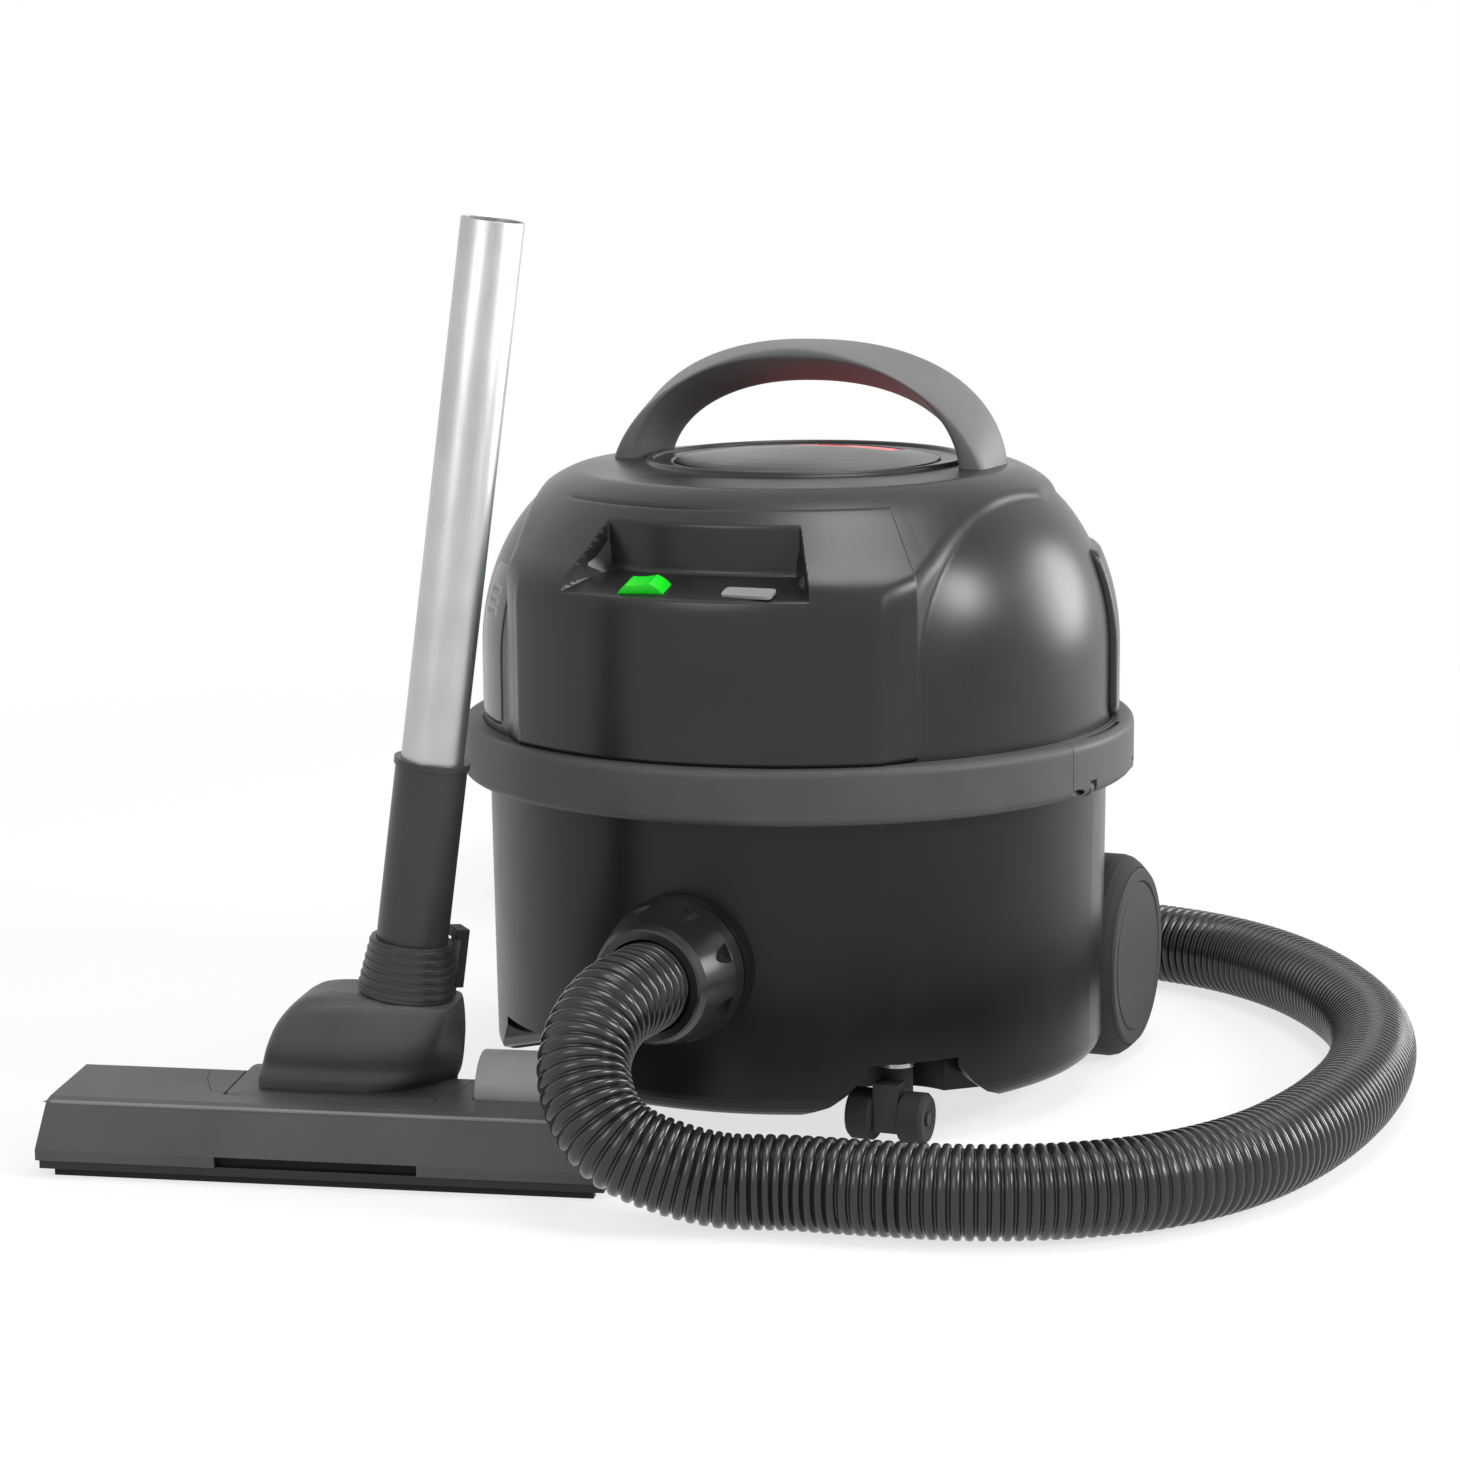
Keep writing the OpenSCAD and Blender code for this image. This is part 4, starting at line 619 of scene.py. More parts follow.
@dataclass
class Viewpoint:
    """The camera: where it stands, how far it turns from the tub's axis, and its lens."""

    stand: tuple[float, float, float] = (660.26, -1728.17, 493.93)
    aside: float = -1.02
    tilt: float = 9.92
    roll: float = -0.55
    lens: float = 95.294

    def build(self) -> bpy.types.Object:
        """Makes the camera and sets it as the scene's own.

        Returns:
            The camera object.
        """
        data = bpy.data.cameras.new("camera")
        data.sensor_width = 36
        data.lens = self.lens
        data.clip_start, data.clip_end = 0.05, 60
        made = bpy.data.objects.new("camera", data)
        aside, tilt, roll = (math.radians(a) for a in (self.aside, self.tilt, self.roll))
        az = math.atan2(-self.stand[0], -self.stand[1]) + aside
        forward = np.array([math.sin(az) * math.cos(tilt), math.cos(az) * math.cos(tilt), -math.sin(tilt)])
        right = np.array([math.cos(az), -math.sin(az), 0])
        up = np.cross(right, forward)
        across = right * math.cos(roll) + up * math.sin(roll)
        above = -right * math.sin(roll) + up * math.cos(roll)
        turn = Matrix(np.stack([across, above, -forward], 1).tolist()).to_4x4()
        made.matrix_world = Matrix.Translation(Vector(placed(self.stand, Place.TUB))) @ turn
        bpy.context.scene.collection.objects.link(made)
        bpy.context.scene.camera = made
        return made


@dataclass
class Hose:
    """The ribbed hose, from the inlet over the floor to its end cuff behind the tub."""

    diameter: float = 41.0
    bore: float = 32.0
    lie: float = 20.5
    pitch: float = 5.05
    groove: float = 2.1
    plain: float = 24.0
    sides: int = 34
    start: tuple[float, float, float] = (0, -157.6, 86)
    rise: tuple[tuple[float, float, float], ...] = (
        (0, -199, 86), (-3, -221, 84), (-5, -238, 76), (-4, -251, 64), (3, -260, 50), (15, -264, 37),
        (33, -262, 28), (60, -255, 21),
    )
    floor_run: tuple[tuple[float, float], ...] = (
        (90, -247), (128, -242), (168, -234), (206, -216), (239, -187), (262, -148), (275, -102), (281, -52),
        (281, 0), (274, 52), (260, 99), (239, 141), (214, 177), (187, 205), (157, 226), (124, 239), (88, 245),
        (50, 244), (10, 238), (-75, 230), (-130, 224), (-182, 232), (-230, 254), (-268, 289), (-294, 333),
        (-307, 384), (-308, 437), (-297, 489), (-275, 537), (-243, 577), (-202, 607), (-155, 626), (-108, 638),
    )

    def route(self) -> np.ndarray:
        """The centreline: a Catmull-Rom curve, each span a cubic through its two middle points.

        Returns:
            Points on the centreline, in millimetres in the tub's frame.
        """
        p = np.array([self.start, *self.rise, *((x, y, self.lie) for x, y in self.floor_run)], float)
        ends = np.vstack([p[0] - (p[1] - p[0]) * 0.2, p, p[-1] * 2 - p[-2]])
        a, b, c, d = (ends[i : len(p) - 1 + i, None] for i in range(4))
        t = (np.arange(8) / 8)[None, :, None]
        fine = 0.5 * (2 * b + (c - a) * t + (2 * a - 5 * b + 4 * c - d) * t * t + (3 * b - a - 3 * c + d) * t**3)
        return np.vstack([fine.reshape(-1, 3), p[-1]])

    def build(self) -> bpy.types.Object:
        """Returns:
            The hose.
        """
        line = self.route()
        along = np.r_[0, np.cumsum(np.linalg.norm(np.diff(line, axis=0), axis=1))]
        length = along[-1]
        ribs = round((length - 2 * self.plain) / self.pitch)
        step = (length - 2 * self.plain) / ribs
        top, low = self.diameter / 2, self.diameter / 2 - self.groove
        share = np.array([0.0, 0.12, 0.2, 0.38, 0.62, 0.8, 0.88])
        high = np.array([low, low + 0.25 * self.groove, top - 0.45, top, top, top - 0.45, low + 0.25 * self.groove])
        s_out = (self.plain + (np.arange(ribs)[:, None] + share) * step).ravel()
        r_out = np.tile(high, ribs)
        s_in = np.linspace(length, 0, 160)
        s = np.r_[0, self.plain - 1, s_out, length - self.plain, length, s_in]
        r = np.r_[top - 0.8, top - 0.8, r_out, low, top - 0.8, np.full(160, self.bore / 2)]
        rings = self.hoops(line, along, s, r)
        made = lofted("ribbed_hose", rings, Place.TUB, hollow=True, crease=80)
        dress(made, HOSE_BLACK)
        return made

    def hoops(self, line: np.ndarray, along: np.ndarray, s: np.ndarray, r: np.ndarray) -> np.ndarray:
        """Circles square to the route. A side vector is carried along it, so nothing twists.

        Args:
            line: Points of the route.
            along: Length along the route at each of them.
            s: Where each circle stands, as length along the route.
            r: Radius of each circle.

        Returns:
            The circles as an array of rings.
        """

        def at(q: np.ndarray) -> np.ndarray:
            return np.stack([np.interp(q, along, line[:, k]) for k in range(3)], -1)

        marks = np.linspace(0, along[-1], 700)
        ahead = at(np.minimum(marks + 2, along[-1])) - at(np.maximum(marks - 2, 0))
        ahead /= np.linalg.norm(ahead, axis=1)[:, None]
        side = np.zeros_like(ahead)
        v = np.array([1.0, 0, 0])
        for i, t in enumerate(ahead):
            v = v - (v @ t) * t
            v /= np.linalg.norm(v)
            side[i] = v
        t = np.stack([np.interp(s, marks, ahead[:, k]) for k in range(3)], -1)
        w = np.stack([np.interp(s, marks, side[:, k]) for k in range(3)], -1)
        t /= np.linalg.norm(t, axis=1)[:, None]
        w -= (w * t).sum(1)[:, None] * t
        w /= np.linalg.norm(w, axis=1)[:, None]
        n = np.cross(t, w)
        a = np.linspace(0, 2 * np.pi, self.sides, endpoint=False)
        spokes = np.cos(a)[None, :, None] * w[:, None] + np.sin(a)[None, :, None] * n[:, None]
        return at(s)[:, None] + r[:, None, None] * spokes

    def declare(self, made: bpy.types.Object) -> None:
        """Hangs the hose on the base body and hides the frame's own hose.

        Args:
            made: The hose.
        """
        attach(made, "base")
        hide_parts("hose")


# ---------------------------------------------------------------- motor head


@dataclass
class HeadShell:
    """Dome and control hood as one field of distances from a point inside the head.

    A ray leaves the middle at a bearing round the axis (nought is the front) and at a climb
    above level. The skin lies where the ray leaves the farther of dome and hood, or where it
    enters the recess, if that is nearer; the corners between them are rounded.
    """

    middle_z: float = 200.0
    dome_r: float = 152.0
    low_z: float = 169.3
    top_z: float = 300.5
    hood_r: float = 157.0
    hood_low_z: float = 180.3
    edge_z: float = 254.0
    hood_half: float = 91.5
    hood_span: float = 41.7
    seam_z: float = 291.0
    set_back: float = 15.0
    side_round: float = 5.0
    join_round: float = 1.4
    mouth_round: float = 1.2
    plateau_rise: float = 1.6
    plateau_from: float = 45.0
    plateau_over: float = 25.0
    recess_back: float = 127.0
    recess_flare: float = 0.54
    recess_side: float = 16.76
    ledge_reach: float = 98.48
    ledge_slope: float = 0.2833
    seam_r: float = 118.0
    seam_depth: float = 0.5
    seam_width: float = 0.006

    def profile_distance(self, profile: np.ndarray, climb: np.ndarray) -> np.ndarray:
        """Distance from the middle to a turned profile, read off it by the ray's climb."""
        p = profile[profile[:, 0] > 0.5]
        at = np.arctan2(p[:, 1] - self.middle_z, p[:, 0])
        order = np.argsort(at)
        return np.interp(climb, at[order], np.hypot(p[:, 0], p[:, 1] - self.middle_z)[order])

    @staticmethod
    def wall_line(radius: float, high: float) -> np.ndarray:
        """Points up an upright wall, close enough together to be read by angle."""
        z = np.linspace(150, high, 60)
        return np.stack([np.full(60, radius), z], -1)

    @staticmethod
    def flat_line(radius: float, height: float) -> np.ndarray:
        """Points in over a level top, close enough together to be read by angle."""
        r = np.linspace(radius, 1, 60)[1:]
        return np.stack([r, np.full(59, height)], -1)

    def dome_profile(self) -> np.ndarray:
        """Radius and height of the dome: an upright wall, then a shoulder on a cubic curve."""
        curve = bezier([[152, 214], [152, 262], [124, 297], [96, self.top_z]], 80)
        return np.vstack([self.wall_line(self.dome_r, 214), curve, self.flat_line(96, self.top_z)])

    def hood_profile(self) -> np.ndarray:
        """Radius and height of the hood: an upright wall, a tight bend, a slope and a soft brow."""
        e = self.edge_z
        low = bezier([[157, e - 10], [157, e + 3], [152, e + 7.5], [144, e + 14.5]], 30)
        top = bezier([[144, e + 14.5], [130, e + 27], [118, self.top_z - 3], [98, self.top_z - 0.2]], 60)
        return np.vstack([self.wall_line(self.hood_r, e - 10), low, top[1:], self.flat_line(98, self.top_z - 0.2)])

    def plan_reach(self, bearing: np.ndarray) -> np.ndarray:
        """Distance from the axis to the hood's plan outline: each ray is cut by the side that it meets."""
        w = self.hood_half
        plan = np.array(
            [[0, -170], [w, -170], [w, -128], [w + 9.5, -113.5], [124, 0], [118, 40], [98, 76], [0, 76]], float
        )
        b = np.abs(bearing)
        ux, uy = np.sin(b), -np.cos(b)
        reach = np.full(bearing.shape, 1e3)
        for (ax, ay), (bx, by) in zip(plan[:-1], plan[1:]):
            ex, ey = bx - ax, by - ay
            cross = ux * ey - uy * ex
            t = (ax * ey - ay * ex) / np.where(np.abs(cross) < 1e-9, 1e-9, cross)
            a0, a1 = math.atan2(ax, -ay), math.atan2(bx, -by)
            reach = np.where((b >= a0 - 1e-9) & (b <= a1 + 1e-9) & (t > 0), np.minimum(reach, t), reach)
        return reach

    def outer(self, bearing: np.ndarray, climb: np.ndarray) -> np.ndarray:
        """Distance to the skin without the recess: the farther of the dome and the trimmed hood."""
        dome = self.profile_distance(self.dome_profile(), climb)
        hood = self.profile_distance(self.hood_profile(), climb)
        past = np.abs(bearing) - math.radians(self.plateau_from)
        hood = hood + self.plateau_rise * np.clip(past / math.radians(self.plateau_over), 0, 1)
        side = self.plan_reach(bearing) / np.cos(climb)
        hood = smooth_least(hood, side, self.side_round)
        return smooth_most(dome, hood, self.join_round)

    def recess(self, bearing: np.ndarray, climb: np.ndarray) -> np.ndarray:
        """Distance at which a ray enters the recess: behind its back wall, flared sides and ledge."""
        b = np.abs(bearing)
        spread = self.recess_flare * np.cos(b) - np.sin(b)
        side = np.where(spread > 0.02, self.recess_side / np.maximum(spread, 0.02), 900)
        ledge = self.ledge_reach / np.maximum(np.tan(climb) + self.ledge_slope, 0.05)
        inner = smooth_most(smooth_most(np.full(b.shape, self.recess_back), side, self.side_round), ledge, 3.0)
        return inner / np.cos(climb)

    def distance(self, bearing: np.ndarray, climb: np.ndarray) -> np.ndarray:
        """Distance to the skin, with the recess and the fine seam over the left of the hood."""
        r = smooth_least(self.outer(bearing, climb), self.recess(bearing, climb), self.mouth_round)
        fade = np.clip((math.radians(6) - bearing) / math.radians(14), 0, 1)
        fade = fade * np.clip((bearing + math.radians(46)) / math.radians(8), 0, 1)
        return r - self.seam_depth * fade * np.exp(-(((climb - self.seam_climb()) / self.seam_width) ** 2))

    def seam_climb(self) -> float:
        """Climb of the ray that meets the seam at the hood's upper border."""
        return math.atan2(self.seam_z - self.middle_z, self.seam_r)

    def point(self, bearing: np.ndarray, climb: np.ndarray, r: np.ndarray) -> np.ndarray:
        """The end of a ray of length r."""
        rho = r * np.cos(climb)
        return np.stack([rho * np.sin(bearing), -rho * np.cos(bearing), self.middle_z + r * np.sin(climb)], -1)

    def radius_at(self, bearing: np.ndarray, z: np.ndarray) -> np.ndarray:
        """Distance of the skin from the axis at given heights, found in three rounds."""
        climb = np.arctan2(z - self.middle_z, self.dome_r)
        for _ in range(3):
            rho = self.outer(bearing, climb) * np.cos(climb)
            climb = np.arctan2(z - self.middle_z, rho)
        return self.outer(bearing, climb) * np.cos(climb)

    def build_hood(self) -> bpy.types.Object:
        """The hood over the front of the dome, as a shell with an even wall.

        Returns:
            The hood.
        """
        span = math.radians(self.hood_span)
        edge = np.radians([20.5, 24.5])
        corner, border = np.linspace(edge[0], edge[1], 26), np.linspace(0, 0.07, 18)
        b = np.unique(np.r_[np.linspace(-span, span, 130), corner, -corner, span - border, -span + border])
        low = math.atan2(self.hood_low_z - self.middle_z, self.hood_r)
        c = np.unique(np.r_[np.linspace(low, self.seam_climb(), 70), np.radians(np.linspace(17, 36.5, 90))])
        bb, cc = np.meshgrid(b, c)
        points = self.point(bb, cc, self.distance(bb, cc))
        made = piece("control_hood_skin", points, grid_faces(*bb.shape), Place.TUB, 50)
        return self.finish(made, "control_hood", "black_dome", HEAD_BLACK)

    def build_dome(self) -> bpy.types.Object:
        """The dome with its top plate, rim and the well of the winder, as a shell.

        Returns:
            The dome.
        """
        span = math.radians(self.hood_span)
        b = np.sort(np.unique(np.round(np.r_[
            np.linspace(-span, span, 40), np.linspace(span, 2 * np.pi - span, 150)[:-1],
            np.radians(np.linspace(41.75, 60, 40)), -np.radians(np.linspace(41.75, 60, 40)),
        ] % (2 * np.pi), 5)))
        low = math.atan2(self.low_z - self.middle_z, self.dome_r)
        bend = math.radians(8)
        c = np.unique(np.r_[np.linspace(low, bend, 14), np.linspace(bend, math.atan2(100.4, 106), 74)])
        bb, cc = np.meshgrid(b, c)
        turn = np.where(bb > np.pi, bb - 2 * np.pi, bb)
        r = self.distance(turn, cc)
        under = (np.abs(turn) < span - 1e-3) & (cc < self.seam_climb() - 0.004)
        r = np.where(under, np.minimum(r, self.outer(turn, cc) - 1) - 3.2, r)
        skin = self.point(bb, cc, r)
        edge = skin[-1]
        well = np.array([
            [78.9, 300.42], [78.3, 300.7], [77.9, 301.8], [77.2, 302.5], [75.2, 302.5], [74.5, 302.1], [74.2, 301.1],
            [73.4, 300.9], [66.2, 300.9], [65.1, 300.6], [64.5, 299.8], [64.3, 298.5], [64.3, 290.5],
        ])
        ring = np.stack([
            well[:, 0, None] * np.sin(b), self.set_back - well[:, 0, None] * np.cos(b),
            np.repeat(well[:, 1, None], len(b), 1),
        ], -1)
        share = np.linspace(0, 1, 9)[1:-1, None, None]
        plate = edge * (1 - share) + ring[0] * share
        rings = np.concatenate([skin, plate, ring])
        rows, cols = rings.shape[:2]
        made = piece("head_dome_skin", rings.reshape(-1, 3), ring_faces(rows, cols, False), Place.TUB, 50)
        return self.finish(made, "head_dome", "black_dome", HEAD_BLACK)

    def finish(
        self, made: bpy.types.Object, stands_for: str, slot: str, look: Moulding, thick: float = 2.4
    ) -> bpy.types.Object:
        """Gives an open skin its wall, its finish and its place on the head."""
        outward(made, (0, 0, self.middle_z))
        thickened(made, thick)
        dress(made, look)
        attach(made, "head")
        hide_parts(stands_for)
        LOG.info("%s: %d faces", made.name, len(made.data.polygons))
        return made

    def build_rear_cover(self) -> bpy.types.Object:
        """The raised cover round the back of the dome, with its two rows of air slots.

        Returns:
            The cover.
        """
        b = np.radians(np.linspace(97.8, 262.2, 400))
        z = np.unique(np.r_[np.linspace(180.4, 261.8, 60), np.linspace(201, 219, 46)])
        bb, zz = np.meshgrid(b, z)
        turn = np.where(bb > np.pi, bb - 2 * np.pi, bb)
        to_side = np.minimum(bb - b[0], b[-1] - bb) * self.dome_r
        to_end = np.minimum(zz - z[0], z[-1] - zz)
        inside = np.clip(smooth_least(to_side, to_end, 6.0) / 3.0, 0, 1)
        rise = -1.2 + 4.6 * np.sqrt(1 - (1 - inside) ** 2)
        slot = np.zeros(bb.shape)
        for row in (205.0, 215.0):
            for k in range(7):
                along = np.maximum(np.abs((bb - np.pi - math.radians(9 * (k - 3))) * self.dome_r) - 5.4, 0)
                slot = np.maximum(slot, np.clip((1.9 - np.hypot(along, zz - row)) / 0.7, 0, 1))
        rho = self.radius_at(turn, zz) + rise - 2.6 * slot
        points = np.stack([rho * np.sin(bb), -rho * np.cos(bb), zz], -1)
        made = piece("rear_cover_skin", points, grid_faces(*bb.shape), Place.TUB, 50)
        return self.finish(made, "rear_cover", "black_dome", HEAD_BLACK, 0.8)

    def build_side_panel(self) -> bpy.types.Object:
        """The narrow polished panel let into the dome beside the hood's left corner.

        Returns:
            The panel.
        """
        b = -np.radians(np.linspace(44.5, 58.5, 36))
        z = np.linspace(184, 258, 60)
        bb, zz = np.meshgrid(b, z)
        u = (bb - b.mean()) / (abs(b[-1] - b[0]) / 2)
        v = (zz - z.mean()) / ((z[-1] - z[0]) / 2)
        inside = 1 - (np.abs(u) ** 10 + np.abs(v) ** 14)
        rise = 0.5 * np.clip(inside * 6, -0.6, 1)
        across = ((bb - b.mean() + 0.02) / 0.05) ** 4
        pit = sum(np.exp(-(((zz - h) / 1.1) ** 2) ** 2 - across) for h in (236, 241, 246))
        rho = self.radius_at(bb, zz) + rise - 0.7 * pit
        points = np.stack([rho * np.sin(bb), -rho * np.cos(bb), zz], -1)
        made = piece("side_panel", points, grid_faces(*bb.shape), Place.TUB, 60)
        outward(made, (0, 0, self.middle_z))
        thickened(made, 1.2)
        dress(made, PANEL_BLACK)
        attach(made, "head")
        return made


def thickened(made: bpy.types.Object, thick: float) -> None:
    """Gives an open skin a wall inwards, in millimetres."""
    wall = made.modifiers.new("wall", "SOLIDIFY")
    wall.thickness = thick * MM
    wall.offset = -1


def outward(made: bpy.types.Object, middle: Sequence[float]) -> None:
    """Turns an open skin's faces away from a point inside it.

    Args:
        made: The skin.
        middle: The inside point, in millimetres in the tub's frame.
    """
    mesh = made.data
    centre = placed(np.array(middle, float), Place.TUB)
    mid = np.zeros(len(mesh.polygons) * 3)
    normal = np.zeros(len(mesh.polygons) * 3)
    mesh.polygons.foreach_get("center", mid)
    mesh.polygons.foreach_get("normal", normal)
    facing = ((mid.reshape(-1, 3) - centre) * normal.reshape(-1, 3)).sum()
    if facing < 0:
        mesh.flip_normals()


@dataclass
class Handle:
    """The carry handle: a rounded four-cornered section carried over the arch.

    Each corner follows its own arch, a power of an ellipse, and each section is a
    rounded square stretched onto the four corners.
    """

    front_y: float = -3.0
    back_y: float = 33.0
    foot_z: float = 291.0
    steps: int = 120
    sides: int = 44

    def arch(self, turn: np.ndarray, half: float, rise: float, power: float) -> np.ndarray:
        """Across and up along one corner's arch; turn runs from nought to pi."""
        c, s = np.cos(turn), np.sin(turn)
        over = -half * np.sign(c) * np.abs(c) ** (2 / power)
        return np.stack([over, self.foot_z + rise * np.abs(s) ** (2 / power)], -1)

    def build(self) -> bpy.types.Object:
        """Makes the handle.

        Returns:
            The handle.
        """
        t = np.linspace(0, 1, self.steps)
        turn = np.pi * (0.5 - 0.5 * np.cos(np.pi * t)) * 0.35 + np.pi * t * 0.65
        front_out = self.arch(turn, 97.0, 65.0, 1.75)
        back_out = self.arch(turn, 98.0, 67.5, 2.35)
        front_in = self.arch(turn, 83.0, 59.5, 2.3)
        back_in = self.arch(turn, 76.0, 44.5, 2.15)
        u, v = (side[None, :, None] for side in rounded_square(self.sides, 0.36))

        def corner(line: np.ndarray, y: float) -> np.ndarray:
            return np.stack([line[:, 0], np.full(len(line), y), line[:, 1]], -1)[:, None]

        rings = (
            corner(front_out, self.front_y) * (1 - u) * (1 + v) + corner(back_out, self.back_y) * (1 + u) * (1 + v)
            + corner(front_in, self.front_y) * (1 - u) * (1 - v) + corner(back_in, self.back_y) * (1 + u) * (1 - v)
        ) / 4
        made = lofted("carry_handle", rings, Place.TUB, crease=50)
        dress(made, GRIP_GREY)
        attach(made, "head")
        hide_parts("handle")
        return made


# ---------------------------------------------------------------- floor tool


@dataclass
class NeckHood:
    """The tilting hood of the floor tool: a bulging front panel with a flat facet at its right.

    Each level is a rounded square stretched onto four corners, and each corner follows its own
    smooth curve of the height. Under the head's top the section draws in to a barrel round the
    pivot, and the top is cut level with the foot of the leaning neck.
    """

    pivot_y: float = 38.0
    pivot_z: float = 30.0
    barrel_r: float = 17.5
    levels: int = 70
    sides: int = 96
    heights: tuple[float, ...] = (37.5, 41.5, 48, 54, 60, 66, 72, 76, 79, 81, 82.2)
    front_left: tuple[float, ...] = (-37, -36.8, -35, -33, -30.5, -27.5, -23, -19, -15, -10, -3)
    front_right: tuple[float, ...] = (25, 32, 37.5, 42, 46, 49.5, 53, 54.8, 55.2, 54, 48)
    back_left: tuple[float, ...] = (-37, -36.8, -35, -33, -30.5, -27.5, -23, -19, -15, -10, -3)
    back_right: tuple[float, ...] = (54.5, 55.5, 56, 56, 55.8, 55.2, 54.2, 53.2, 52, 50, 46)
    front: tuple[float, ...] = (20.6, 20.4, 21, 18.7, 17.2, 16.9, 17, 17.4, 18.6, 20.6, 25)
    back: tuple[float, ...] = (55.5, 57, 58.5, 59.2, 59.6, 59.6, 59.2, 58.6, 57, 54.8, 50)

    def build(self) -> bpy.types.Object:
        """Makes the hood.

        Returns:
            The hood.
        """
        z = np.array(self.heights)
        h = z[0] + (z[-1] - z[0]) * np.sin(np.linspace(0, np.pi / 2, self.levels))
        lines = [smooth_line(h, z, np.array(v)) for v in (
            self.front_left, self.front_right, self.back_left, self.back_right, self.front, self.back)]
        drop = np.linspace(0.96, 0.05, 16)
        low = self.pivot_z + (z[0] - self.pivot_z) * drop
        share = np.sqrt(np.maximum(self.barrel_r**2 - (low - self.pivot_z) ** 2, 1))
        under = [np.full(16, line[0]) for line in lines[:4]] + [self.pivot_y - share, self.pivot_y + share]
        fl, fr, bl, br, fy, by = (np.r_[np.array(u)[::-1], line] for u, line in zip(under, lines))
        h = np.r_[low[::-1], h]
        u, v = rounded_square(self.sides, 0.34)
        left = (1 - v) * fl[:, None] + (1 + v) * bl[:, None]
        right = (1 - v) * fr[:, None] + (1 + v) * br[:, None]
        x = ((1 - u) * left + (1 + u) * right) / 4
        y = ((1 - v) * fy[:, None] + (1 + v) * by[:, None]) / 2
        y = y - 1.6 * (1 - u * u) * (1 - v) / 2 * np.clip((h[:, None] - 36) / 14, 0, 1)
        top = self.neck_foot(x)
        level = np.minimum(np.repeat(h[:, None], self.sides, 1), top)
        rings = np.stack([x, y, level], -1)
        made = lofted("neck_hood_skin", rings, Place.TOOL, crease=60)
        dress(made, TOOL_GREY)
        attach(made, "neck")
        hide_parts("neck_hood")
        return made

    def build_apron(self) -> bpy.types.Object:
        """The flat plate round the hood's foot, level with the cover and tilting with the neck.

        Returns:
            The plate.
        """
        u, v = rounded_square(160, 0.12)
        rings = []
        for inset, below in ((0.4, 2.6), (0, 2.2), (0, 0.4), (0.12, 0.12), (0.4, 0), (9, 0)):
            x = (48.7 - inset) * u
            y = 36.7 + (23.4 - inset) * v
            rings.append(np.stack([x, y, 35.55 + (y - 2) * 0.05 - below], -1))
        made = lofted("neck_apron", np.array(rings), Place.TOOL)
        dress(made, TOOL_GREY)
        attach(made, "neck")
        return made

    @staticmethod
    def neck_foot(x: np.ndarray) -> np.ndarray:
        """Height of the plane on which the leaning neck stands, less a hair."""
        return NECK_ORIGIN[2] - (x - NECK_ORIGIN[0]) * math.tan(WAND_LEAN) - 0.3


@dataclass
class ToolEdge:
    """The rounded lip along the front top edge of the floor tool, in a paler grey that is a painted highlight along
    the lit edge.
    """

    half: float = 128.5
    radius: float = 0.9

    def build(self) -> bpy.types.Object:
        """Makes the lip as a thin bar with tapered ends.

        Returns:
            The lip.
        """
        t = np.linspace(-1, 1, 60)
        line = np.stack([self.half * t, -2.9 + 0.6 * t**4, 34.2 - 0.25 * t * t], -1)
        r = self.radius * np.clip((1 - np.abs(t)) / 0.02 + 0.15, 0, 1)
        a = np.linspace(0, 2 * np.pi, 16, endpoint=False)
        rings = line[:, None, :] + r[:, None, None] * np.stack([np.zeros(16), np.cos(a), np.sin(a)], -1)[None]
        made = lofted("tool_lip", rings, Place.TOOL, crease=60)
        # The paler grey is a painted highlight along the lit front edge.
        dress(made, LIP_GREY_PAINTED_HIGHLIGHT)
        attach(made, "tool")
        return made


@dataclass
class Wand:
    """The bare metal wand, whose plug-in end is as wide as the rest to the eye."""

    outer: float = 14.0
    inner: float = 12.9
    low: float = 26.3
    high: float = 347.9

    def build(self) -> bpy.types.Object:
        """Makes the wand as a tube with a wall.

        Returns:
            The wand.
        """
        o, i, a, b = self.outer, self.inner, self.low, self.high
        foot = [(i, a), (o - 0.2, a), (o, a + 0.2)]
        lip = [(o, b - 0.3), (o - 0.1, b - 0.1), (o - 0.3, b), (i + 0.2, b), (i, b - 0.2)]
        profile = foot + lip
        made = lofted("wand_skin", turned(profile, 128), Place.NECK, hollow=True)
        dress(made, WAND_STEEL)
        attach(made, "wand")
        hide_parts("wand_tube")
        return made


# ---------------------------------------------------------------- light and floor


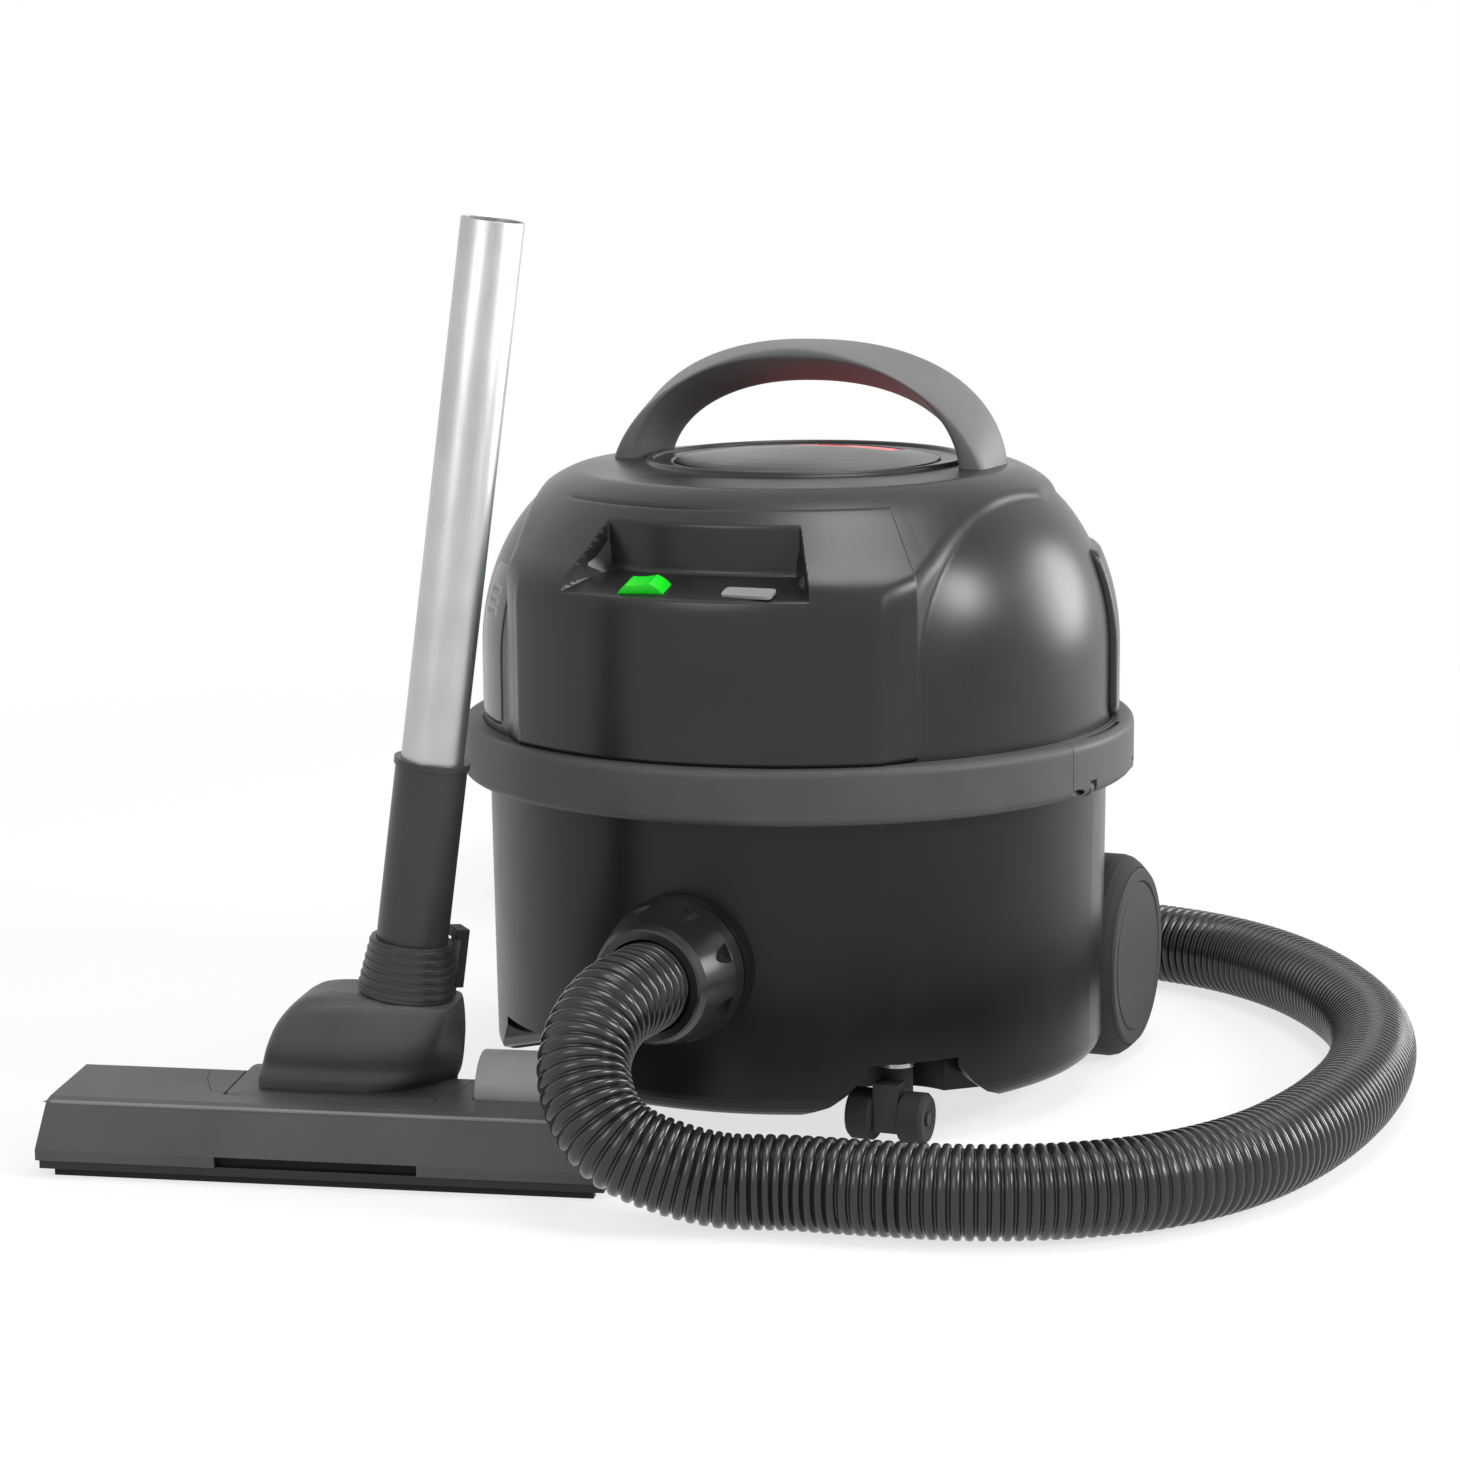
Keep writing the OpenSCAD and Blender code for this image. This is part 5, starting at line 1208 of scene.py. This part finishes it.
@dataclass
class Studio:
    """Pale floor, white background and four soft lamps."""

    reach: float = 6.0
    world: float = 0.55
    lamps: tuple[tuple[str, tuple[float, float, float], tuple[float, float, float], float, float], ...] = (
        ("side", (2.0, -0.1, 1.2), (0.05, 0.0, 0.15), 0.7, 24.0),
        ("overhead", (0.46, 0.05, 2.1), (0.05, 0.0, 0.15), 1.0, 16.0),
        ("front", (-0.43, -2.42, 1.72), (0.05, 0.0, 0.15), 1.6, 20.0),
        ("back", (1.52, 1.52, 0.6), (0.05, 0.1, 0.15), 1.0, 22.0),
    )

    def build(self) -> None:
        """Makes floor, world and lamps."""
        bpy.context.scene.view_settings.view_transform = "Standard"
        self.floor()
        self.sky()
        for name, stand, look, size, watts in self.lamps:
            data = bpy.data.lights.new(name, "AREA")
            data.shape = "DISK"
            data.size = size
            data.energy = watts
            made = bpy.data.objects.new(name, data)
            way = Vector(look) - Vector(stand)
            made.rotation_euler = way.to_track_quat("-Z", "Y").to_euler()
            made.location = stand
            bpy.context.scene.collection.objects.link(made)

    def floor(self) -> None:
        """A round floor whose far part turns into plain white for the camera."""
        a = np.linspace(0, 2 * np.pi, 96, endpoint=False)
        r = np.linspace(0.05, 1, 40)[:, None] ** 1.6 * self.reach
        rings = np.stack([r * np.cos(a), r * np.sin(a), np.zeros((40, 96))], -1)
        points = np.vstack([rings.reshape(-1, 3), [[0, 0, 0]]])
        faces = np.vstack([ring_faces(40, 96, False), fan_faces(0, 96, 40 * 96)[:, [1, 0, 2, 3]]])
        made = piece("floor", points / MM - TUB_AXIS, faces, Place.TUB)
        if made.data.polygons[0].normal.z < 0:
            made.data.flip_normals()
        mat, tree, bsdf = shader("floor_white")
        bsdf.inputs["Base Color"].default_value = (0.93, 0.93, 0.93, 1)
        bsdf.inputs["Roughness"].default_value = 0.9
        bsdf.inputs["Specular IOR Level"].default_value = 0.1
        light = tree.nodes.new("ShaderNodeEmission")
        path = tree.nodes.new("ShaderNodeLightPath")
        where = tree.nodes.new("ShaderNodeTexCoord")
        far = tree.nodes.new("ShaderNodeVectorMath")
        far.operation = "LENGTH"
        tree.links.new(where.outputs["Object"], far.inputs[0])
        fade = tree.nodes.new("ShaderNodeMapRange")
        fade.interpolation_type = "SMOOTHSTEP"
        fade.inputs["From Min"].default_value = 0.45
        fade.inputs["From Max"].default_value = 1.5
        fade.inputs["To Min"].default_value = 0.72
        tree.links.new(far.outputs["Value"], fade.inputs["Value"])
        seen = tree.nodes.new("ShaderNodeMath")
        seen.operation = "MULTIPLY"
        tree.links.new(fade.outputs["Result"], seen.inputs[0])
        tree.links.new(rays_seen(tree, path), seen.inputs[1])
        mix = tree.nodes.new("ShaderNodeMixShader")
        tree.links.new(seen.outputs["Value"], mix.inputs["Fac"])
        tree.links.new(bsdf.outputs["BSDF"], mix.inputs[1])
        tree.links.new(light.outputs["Emission"], mix.inputs[2])
        tree.links.new(mix.outputs["Shader"], tree.nodes["Material Output"].inputs["Surface"])
        made.data.materials.append(mat)

    def sky(self) -> None:
        """White to the camera and in gloss, a plain level to everything else."""
        world = bpy.data.worlds.new("studio")
        world.use_nodes = True
        bpy.context.scene.world = world
        tree = world.node_tree
        plain = tree.nodes["Background"]
        plain.inputs["Color"].default_value = (1, 1, 1, 1)
        plain.inputs["Strength"].default_value = self.world
        white = tree.nodes.new("ShaderNodeBackground")
        white.inputs["Color"].default_value = (1, 1, 1, 1)
        white.inputs["Strength"].default_value = 1.0
        path = tree.nodes.new("ShaderNodeLightPath")
        mix = tree.nodes.new("ShaderNodeMixShader")
        tree.links.new(rays_seen(tree, path), mix.inputs["Fac"])
        tree.links.new(plain.outputs["Background"], mix.inputs[1])
        tree.links.new(white.outputs["Background"], mix.inputs[2])
        tree.links.new(mix.outputs["Shader"], tree.nodes["World Output"].inputs["Surface"])


def rays_seen(tree: bpy.types.NodeTree, path: bpy.types.Node) -> bpy.types.NodeSocket:
    """One for rays of the camera, of gloss and through clear matter, nought for the others."""
    total = path.outputs["Is Camera Ray"]
    for name in ("Is Glossy Ray", "Is Transmission Ray"):
        both = tree.nodes.new("ShaderNodeMath")
        both.operation = "ADD"
        both.use_clamp = True
        tree.links.new(total, both.inputs[0])
        tree.links.new(path.outputs[name], both.inputs[1])
        total = both.outputs["Value"]
    return total


def main() -> None:
    """Builds the pieces in order and reports each one."""
    logging.basicConfig(level=logging.INFO, format="%(name)s: %(message)s")
    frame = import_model()
    nodes = frame["nodes"]
    Viewpoint().build()
    hose = Hose()
    tube = hose.build()
    hose.declare(tube)
    dress_carried(nodes)
    head = HeadShell()
    neck = NeckHood()
    for made in (
        head.build_hood(), head.build_dome(), head.build_rear_cover(), head.build_side_panel(), Handle().build(),
        neck.build(), neck.build_apron(), ToolEdge().build(), Wand().build(),
    ):
        LOG.info("made %s", made.name)
    Studio().build()
    bpy.context.view_layer.update()


if __name__ == "__main__":
    main()
